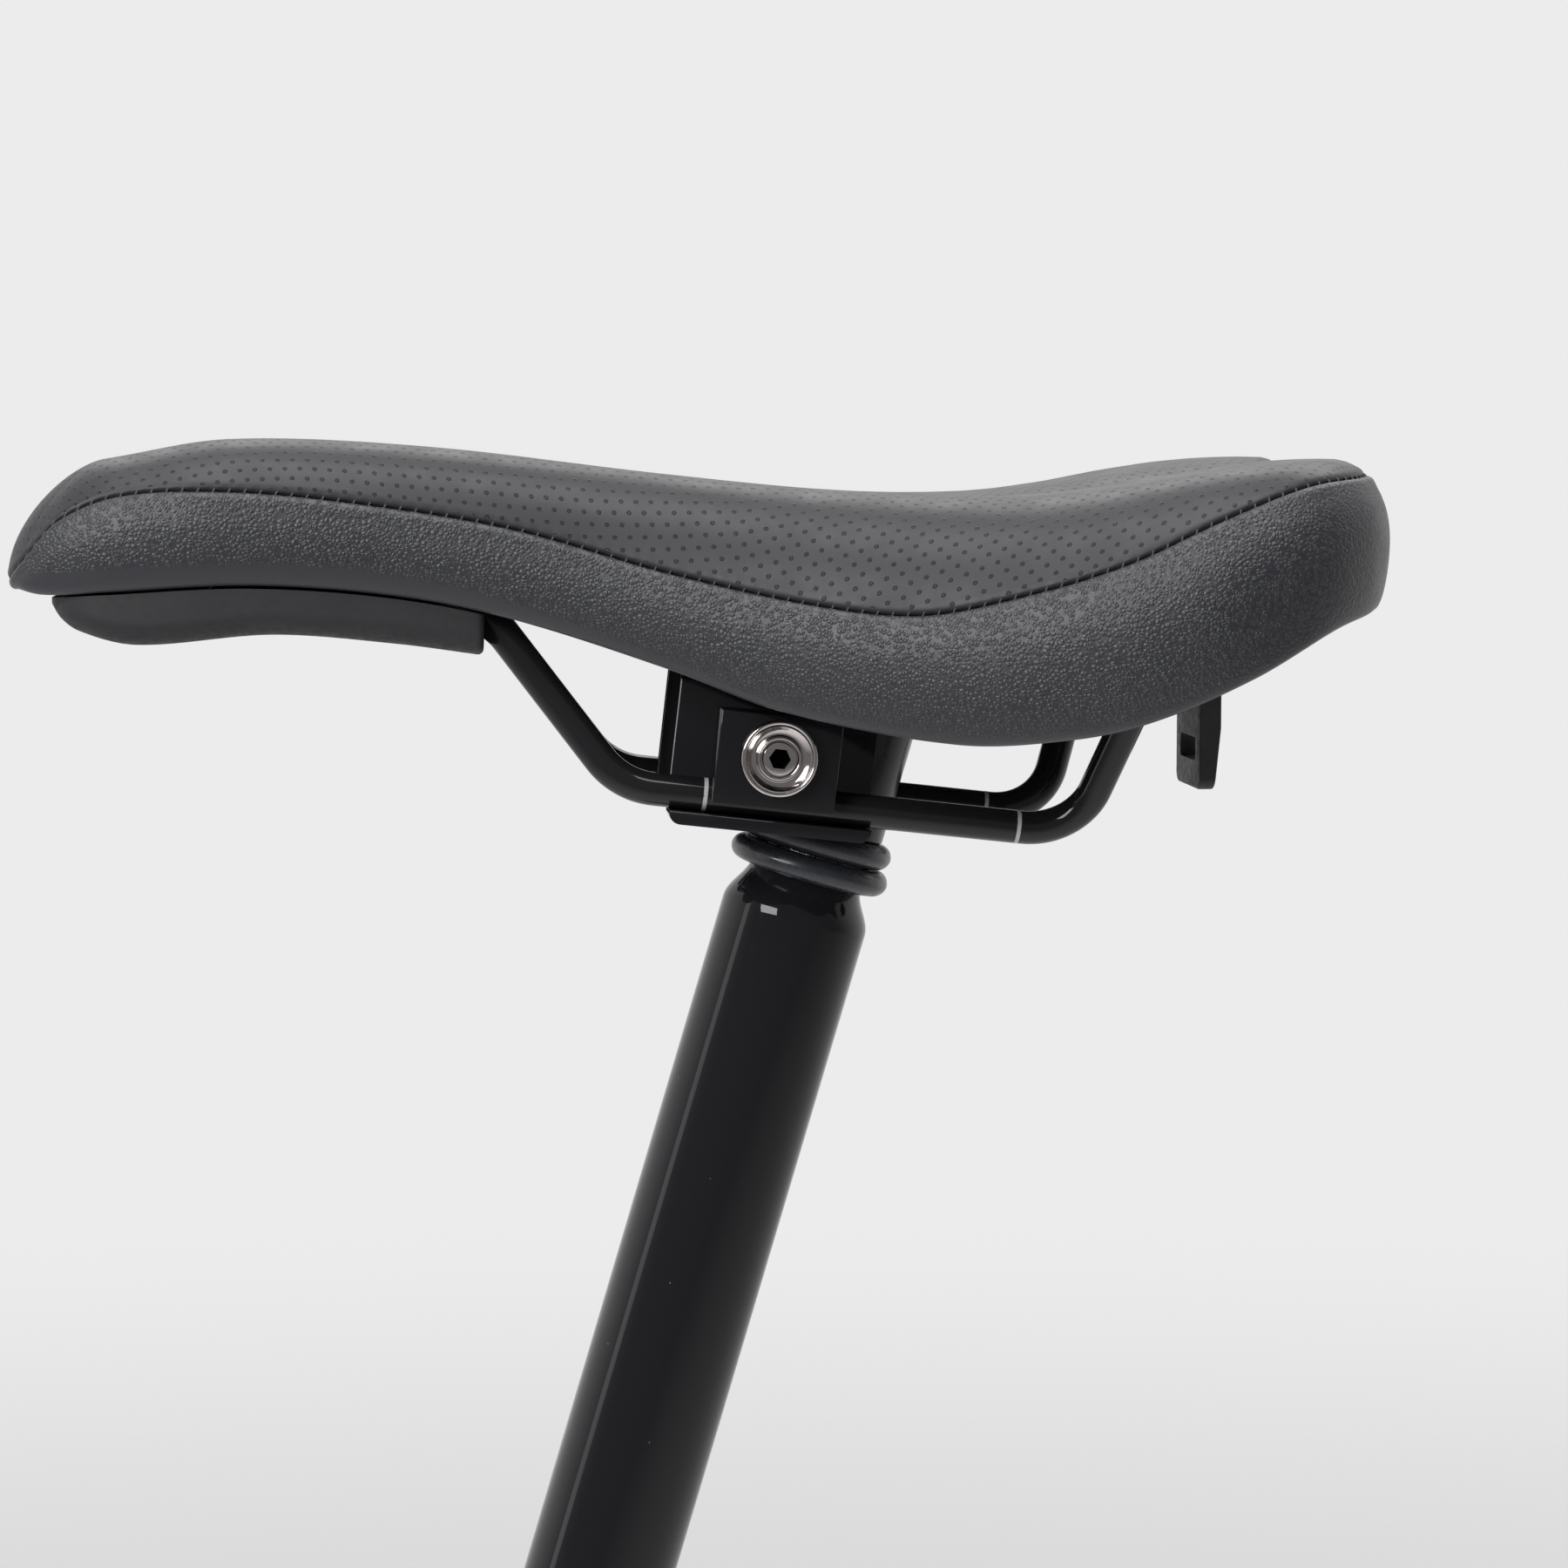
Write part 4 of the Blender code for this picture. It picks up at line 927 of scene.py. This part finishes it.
def side_loop(section, drawn_in, phase):
    """Closed loop of the side panel on one section, with its hem turned under the shell's rim."""
    points = 30
    inside_of_face = [1, 4, 8, 14, 20, 26]
    inside_of_hem = [30, 31, 32, 33, 35]
    hem_thickness = 0.6
    reach = section.length[-1] - section.seam_at
    near = NEAR_SEAM[NEAR_SEAM < 0.4 * reach]
    distance = np.concatenate([near, np.linspace(near[-1], reach, points - len(near) + 1)[1:]])
    along = section.seam_at + distance
    rest = section.at(section.skin(along))
    pillow = np.interp(section.start + section.run[0], (0, 60, 190, 260), (0.4, 0.7, 1.7, 0.9))
    lift = side_edge_lift(distance, drawn_in) + pillow * np.sin(math.pi * (distance / reach) ** 0.7)
    calm_edges = np.clip(distance / 6, 0, 1) * np.clip((reach - distance) / 5, 0, 1)
    lift = lift + 0.22 * ripple(rest, 13, 1.9) * calm_edges
    outer = section.skin(along, lift)
    outer[0, 0] += 0.04
    edge = section.reach - SKIRT_TUCK - SHELL_INSET
    under = section.shell(np.array([0.985, 0.95, 0.9]))
    under[:, 1] -= SHELL + 0.9 + 0.25 * math.sin(phase) * np.array([0.6, 1, 1])
    rim = [[edge + 2.2, section.bottom - 0.05], [edge + 0.6, section.bottom],
           [edge - 0.4, section.bottom + 0.12]]
    outer = np.vstack([outer, rim, under])
    rise = np.gradient(outer, axis=0)
    size = np.maximum(np.hypot(rise[:, 0], rise[:, 1]), 1e-9)
    normal = np.stack([rise[:, 1], -rise[:, 0]], axis=-1) / size[:, None]
    picks = inside_of_face + inside_of_hem
    depth = np.array([COVER] * len(inside_of_face) + [hem_thickness] * len(inside_of_hem))
    inner = (outer[picks] + normal[picks] * depth[:, None])[::-1]
    hem = np.interp(section.start + section.run[0], (70, 150), (5, 1.8))
    grain = np.clip((reach - distance - hem) / 1.2, 0.08, 1)
    loop = np.vstack([outer, inner])
    return section.at(loop), np.concatenate([grain, np.full(len(loop) - points, 0.3)])


def build_side_panels(sections, look):
    """Grained side panels, joined at the nose and at the tail, with the hem drawn under."""
    middle = len(sections) // 2
    around = list(range(len(sections))) + [0]
    for name, span in (("right", around[:middle + 1]), ("left", around[middle:])):
        loops = []
        grains = []
        for k in span:
            phase = 1.5 * k + 1.7 * math.sin(0.26 * k)
            loop, grain = side_loop(sections[k], DRAWN_IN[k % len(DRAWN_IN)], phase)
            loops.append(loop)
            grains.append(grain)
        mesh = lofted(f"side_panel_{name}", loops, False, grains=grains)
        piece = show(f"side_panel_{name}", mesh, SADDLE, "saddle", look["grained"],
                     [f"side_cover_{name}"], 60)


def build_stitches(sections, look):
    """One short slanted thread over the seam at every stitch."""
    bm = bmesh.new()
    thick, thin = 0.23, 0.13
    distances = np.array([-0.75, -0.55, -0.3, 0.0, 0.3, 0.55, 0.75])
    lifts = np.array([-0.5, -0.25, -0.15, -0.12, -0.14, -0.22, -0.5])
    last = len(distances) - 1
    for k in range(0, len(sections), len(DRAWN_IN)):
        section = sections[k]
        beside = sections[(k + 1) % len(sections)]
        ahead = beside.seam_point() - section.seam_point()
        ahead = ahead / max(np.linalg.norm(ahead), 1e-9)
        centres = section.at(section.skin(section.seam_at + distances, lifts))
        centres = centres + np.outer(distances * 0.45, ahead)
        rings = []
        for j, centre in enumerate(centres):
            along = Vector(centres[min(j + 1, last)] - centres[max(j - 1, 0)]).normalized()
            side = along.cross(Vector(ahead)).normalized()
            radius = thick if 0 < j < last else thin
            rings.append(ring_about(bm, Vector(centre), side, along.cross(side), radius, 6))
        bridge(bm, rings)
        cap(bm, rings)
    show("seam_stitches", to_mesh("stitches", bm), SADDLE, "saddle", look["thread"], (),
         60)


def build_foam_and_shell(sections, look):
    """Foam under the covers and the plastic shell under the foam, on every second section."""
    used = sections[::2]
    pads = []
    shells = []
    parts = np.linspace(0, 1, 22) ** 0.8
    for section in used:
        side = section.length[-1] - section.seam_at
        along = np.concatenate([section.seam_at * np.linspace(0, 1, 16),
                                section.seam_at + side * np.linspace(0.08, 0.96, 10)])
        skin = section.skin(along, -COVER - 0.45)
        near_seam = np.abs(along - section.seam_at) < 2
        skin[near_seam] = section.skin(along[near_seam], -COVER - 1.1)
        top = section.shell(parts)
        top[:, 1] += 0.25
        pads.append(section.at(np.vstack([skin, top[::-1]])))
        upper = section.shell(parts)
        lower = upper.copy()
        lower[:, 1] -= SHELL
        shells.append(section.at(np.vstack([upper, lower[::-1]])))
    pad = show("foam_core", lofted("foam_core", pads, True), SADDLE, "saddle", look["foam"],
               ["foam_pad"], 60)
    show("shell", lofted("shell", shells, True), SADDLE, "saddle", look["plastic"],
         ["saddle_shell"], 50)


# ---------------------------------------------------------------- rails and mouldings

def on_rail(along, side):
    """Place on the middle line of one rail's straight run, in the saddle's frame."""
    return Matrix.Rotation(RAIL_SLOPE, 3, "Y") @ Vector((along, side * RAIL_SPREAD, -RAIL_DROP))


def rail_corners(side):
    """Corners of one rail, from its end in the nose to its end under the tail."""
    back = on_rail(65, side)
    return [(-131, side * 8.5, 31), (-60.5, side * 13, 31), on_rail(-31.4, side), back,
            back + Vector((14.8, side * 19.5, 41))]


def build_rails(look):
    """Bent rails with white limit marks."""
    marks = (-13.8, 52.5)
    half_mark = 0.42
    for name, side in (("left", -1), ("right", 1)):
        path = rounded_path(rail_corners(side), (18, 16, 14))
        cuts = [on_rail(mark + edge, side) for mark in marks for edge in (-half_mark, half_mark)]
        path = sorted(path + cuts, key=lambda p: p.x)
        piece = show(f"bar_{name}", swept(path, RAIL_RADIUS, 40), SADDLE, "saddle", look["rail"],
                     [f"rail_{name}"], 50)
        piece.data.materials.append(look["mark"])
        to_rail = CLAMP.inverted()
        for polygon in piece.data.polygons:
            centre = to_rail @ polygon.center
            if any(abs(centre.x - mark) < half_mark for mark in marks) and len(polygon.vertices) == 4:
                polygon.material_index = 1


def build_grip(look):
    """Hollow moulded grip under the nose."""
    start = 9.5
    end = 98.5
    edge = 1.4
    wall = 1.6
    low = [(start, 31.5), (11, 28.9), (15, 26), (27, 23.2), (55, 25.3), (80, 23.4), (end, 20.9)]
    width = [(start, 8), (13, 12.5), (20, 16), (40, 19), (end, 22.5)]

    def solid(shift, inwards, rise):
        rounding = [end - edge * (1 - math.sin(math.pi / 2 * k / 5)) for k in range(6)]
        stations = np.concatenate([np.linspace(start, 20, 14), np.linspace(22, end - 2, 38), rounding])
        bm = bmesh.new()
        rows = []
        for x in stations:
            past = max(0, x - end + edge)
            inset = inwards or edge - math.sqrt(max(0, edge * edge - past * past))
            half = float(smooth(width, x)) - inset
            floor = float(smooth(low, x)) + inset
            roof = float(smooth(SKIRT, x)) + rise
            corner = min(5, half * 0.6, (roof - floor) * 0.7)
            side = arc((half - corner, floor + corner), corner, -90, 0, 10)
            other_side = [(-y, z) for y, z in reversed(side)]
            loop = side + [(half, roof), (-half, roof)] + other_side
            rows.append([bm.verts.new((NOSE_X + x + shift, y, z)) for y, z in loop])
        bridge(bm, rows)
        cap(bm, rows)
        return to_mesh("grip", bm)

    mesh = carve(solid(0, 0, -0.6), ("DIFFERENCE", solid(wall, wall, 4)))
    show("grip", mesh, SADDLE, "saddle", look["grip"], ["nose_grip"], 45)


def build_bracket(look):
    """Hanging plate with a slot, screwed to the shell under the tail."""
    front = 92.2
    half = 12.25
    top = 31
    low = -9.2
    back = front + 4.7
    flange_front = front - 14
    flange_low = top - 3
    side = [(front, low), (back - 1.3, low), (back, 4), (back, top),
            (flange_front, top), (flange_front, flange_low), (front, flange_low)]
    bm = prism_bm(side, -half, half, "Y")

    def is_lower_corner(one, two):
        return max(abs(one.z - low), abs(two.z - low)) < 0.1 and abs(one.y - two.y) < 0.1

    soften(bm, 2.5, is_lower_corner, 8)
    soften(bm, 0.45)
    slot_bm = prism_bm([(-7.75, -3.2), (7.75, -3.2), (7.75, 1.8), (-7.75, 1.8)], front - 5, back + 5, "X")
    soften(slot_bm, 0.9, lambda one, two: abs(one.x - two.x) > 1, 4)
    steps = [("DIFFERENCE", to_mesh("slot", slot_bm))]
    for y in (-7, 7):
        hole = rod(((front + flange_front) / 2, y), 1.9, flange_low - 1, top + 1, "Z", 32)
        steps.append(("DIFFERENCE", hole))
    mesh = carve(to_mesh("bracket", bm), *steps)
    show("bracket", mesh, SADDLE, "saddle", look["plastic"], ["rear_bracket"])


def finish_cad_nodes(look):
    """Materials and softened edges for the CAD nodes that stay in view."""
    finishes = {
        "inner_shaft": "steel", "anti_rotation_key": "steel", "spring_seat": "steel",
        "bracket_screw_left": "steel", "bracket_screw_right": "steel",
        "upper_guide_bushing": "polymer", "lower_guide_bushing": "polymer",
        "shaft_foot": "polymer", "shaft_top_cap": "polymer", "top_out_bumper": "rubber",
        "preload_plug": "plastic", "rear_socket_left": "plastic", "rear_socket_right": "plastic",
        "nose_rail_socket": "plastic",
    }
    for name, finish in finishes.items():
        node = frame["nodes"][name]
        node.data.materials.clear()
        node.data.materials.append(look[finish])
        bevel = node.modifiers.new("edges", "BEVEL")
        bevel.width = 0.2 * MM
        bevel.segments = 2
        bevel.limit_method = "ANGLE"
        bevel.angle_limit = math.radians(40)
        bevel.harden_normals = True


# ---------------------------------------------------------------- studio

# Places in metres, powers in watts.
TARGET_FROM_BOLT = Vector((0.0042, 0, -0.0081))
CAMERA_FROM_TARGET = Vector((-0.086, -0.820, 0.075))
LENS = 88.6
SENSOR = 36
BACKDROP = 0.837
# The room's light goes from the first level to the second between these directions along Y.
ROOM_TURN = (-0.5, 0.45)
ROOM_LIGHT = (0.21, 0.86)
FLOOR_RADIUS = 5
FLOOR_HEIGHT = -0.75
# Each softbox: its place from the target, its two sides and its power.
SOFTBOXES = {
    "top": ((-0.1, -0.35, 1.3), (1.3, 0.9), 21),
    "back": ((0.1, 0.9, 0.9), (1.4, 0.5), 6),
    "window": ((-0.77, -0.77, 0.50), (0.58, 0.6), 12),
    "card": ((-1.3, -0.1, 0.15), (0.2, 1.0), 0.8),
}


def aim(thing, target):
    thing.rotation_euler = (target - thing.location).to_track_quat("-Z", "Y").to_euler()


def add_softbox(name, location, size, power, target):
    lamp = bpy.data.lights.new(name, "AREA")
    lamp.shape = "RECTANGLE"
    lamp.size, lamp.size_y = size
    lamp.energy = power
    box = bpy.data.objects.new(name, lamp)
    bpy.context.scene.collection.objects.link(box)
    box.location = location
    aim(box, target)


def place_camera(target):
    camera = bpy.data.objects.new("camera", bpy.data.cameras.new("camera"))
    bpy.context.scene.collection.objects.link(camera)
    camera.location = target + CAMERA_FROM_TARGET
    aim(camera, target)
    camera.data.lens = LENS
    camera.data.sensor_width = SENSOR
    bpy.context.scene.camera = camera


def build_surroundings():
    """Room that is darker behind the camera, seen by the camera itself as one even grey."""
    world = bpy.data.worlds.new("studio")
    bpy.context.scene.world = world
    world.use_nodes = True
    tree = world.node_tree
    tree.nodes.clear()

    def node(kind):
        return tree.nodes.new("ShaderNode" + kind)

    output, backdrop, room = node("OutputWorld"), node("Background"), node("Background")
    direction, ramp, mix = node("SeparateXYZ"), node("MapRange"), node("MixShader")
    backdrop.inputs["Color"].default_value = (BACKDROP, BACKDROP, BACKDROP, 1)
    ramp.interpolation_type = "SMOOTHSTEP"
    for socket, number in zip(ramp.inputs[1:5], (*ROOM_TURN, *ROOM_LIGHT)):
        socket.default_value = number
    for source, socket in (
            (node("TexCoord").outputs["Generated"], direction.inputs[0]),
            (direction.outputs["Y"], ramp.inputs[0]),
            (ramp.outputs[0], room.inputs["Color"]),
            (node("LightPath").outputs["Is Camera Ray"], mix.inputs[0]),
            (room.outputs[0], mix.inputs[1]),
            (backdrop.outputs[0], mix.inputs[2]),
            (mix.outputs[0], output.inputs[0])):
        tree.links.new(source, socket)


def build_floor():
    """Pale disc far below, which fades out before its rim."""
    bm = bmesh.new()
    bmesh.ops.create_circle(bm, cap_ends=True, radius=FLOOR_RADIUS, segments=96)
    floor = bpy.data.objects.new("floor", to_mesh("floor", bm))
    floor.location = (BOLT.x, 0, FLOOR_HEIGHT)
    bpy.context.scene.collection.objects.link(floor)
    s = Surface("look_floor", 0.8)
    s.paint(s.noise(40, 2), (0.89, 0.89, 0.89), (0.91, 0.91, 0.91))
    centre_distance = s.add("VectorMath", {"operation": "LENGTH"})
    s.feed(centre_distance.inputs[0], s.place)
    fade = s.ramp(centre_distance.outputs["Value"], 0.25 * FLOOR_RADIUS, 0.97 * FLOOR_RADIUS)
    clear = s.add("BsdfTransparent")
    blend = s.add("MixShader")
    s.feed(blend.inputs[0], fade)
    s.feed(blend.inputs[1], s.shader.outputs[0])
    s.feed(blend.inputs[2], clear.outputs[0])
    s.feed(s.tree.nodes["Material Output"].inputs["Surface"], blend.outputs[0])
    floor.data.materials.append(s.material)


def build_studio():
    """Camera, pale surroundings, floor and softboxes."""
    bpy.context.scene.view_settings.view_transform = "Standard"
    target = BOLT + TARGET_FROM_BOLT
    place_camera(target)
    build_surroundings()
    build_floor()
    for name, (offset, size, power) in SOFTBOXES.items():
        add_softbox(name, target + Vector(offset), size, power, target)


def main():
    look = {
        "paint": gloss_paint("look_gloss_black", (0.008, 0.008, 0.0095), 0.05),
        "satin": gloss_paint("look_satin_black", (0.012, 0.012, 0.013), 0.24),
        "rail": gloss_paint("look_rail_black", (0.010, 0.010, 0.011), 0.09),
        "mark": mark_paint(),
        "blasted_and_socket_shade": blasted_black_and_socket_shade(),
        "steel": bare_metal("look_steel", (0.55, 0.56, 0.58), 0.28),
        "spring": bare_metal("look_spring_steel", (0.33, 0.34, 0.36), 0.35),
        "chrome": chrome_plate(),
        "rubber": moulded_rubber(),
        "polymer": polymer(),
        "plastic": moulded_plastic("look_matt_plastic", (0.022, 0.022, 0.024), (0.034, 0.034, 0.037)),
        "grip": moulded_plastic("look_grip_plastic", (0.016, 0.016, 0.018), (0.024, 0.024, 0.026), 0.02),
        "perforated": perforated_leather(),
        "grained": grained_leather(),
        "thread": sewing_thread(),
        "foam": foam(),
    }
    build_post(look)
    build_springs(look)
    build_collar(look)
    build_cradle(look)
    build_jaws(look)
    build_bolt(look)
    sections = saddle_sections()
    build_top_panel(sections, look)
    build_side_panels(sections, look)
    build_stitches(sections, look)
    build_foam_and_shell(sections, look)
    build_rails(look)
    build_grip(look)
    build_bracket(look)
    finish_cad_nodes(look)
    build_studio()


main()
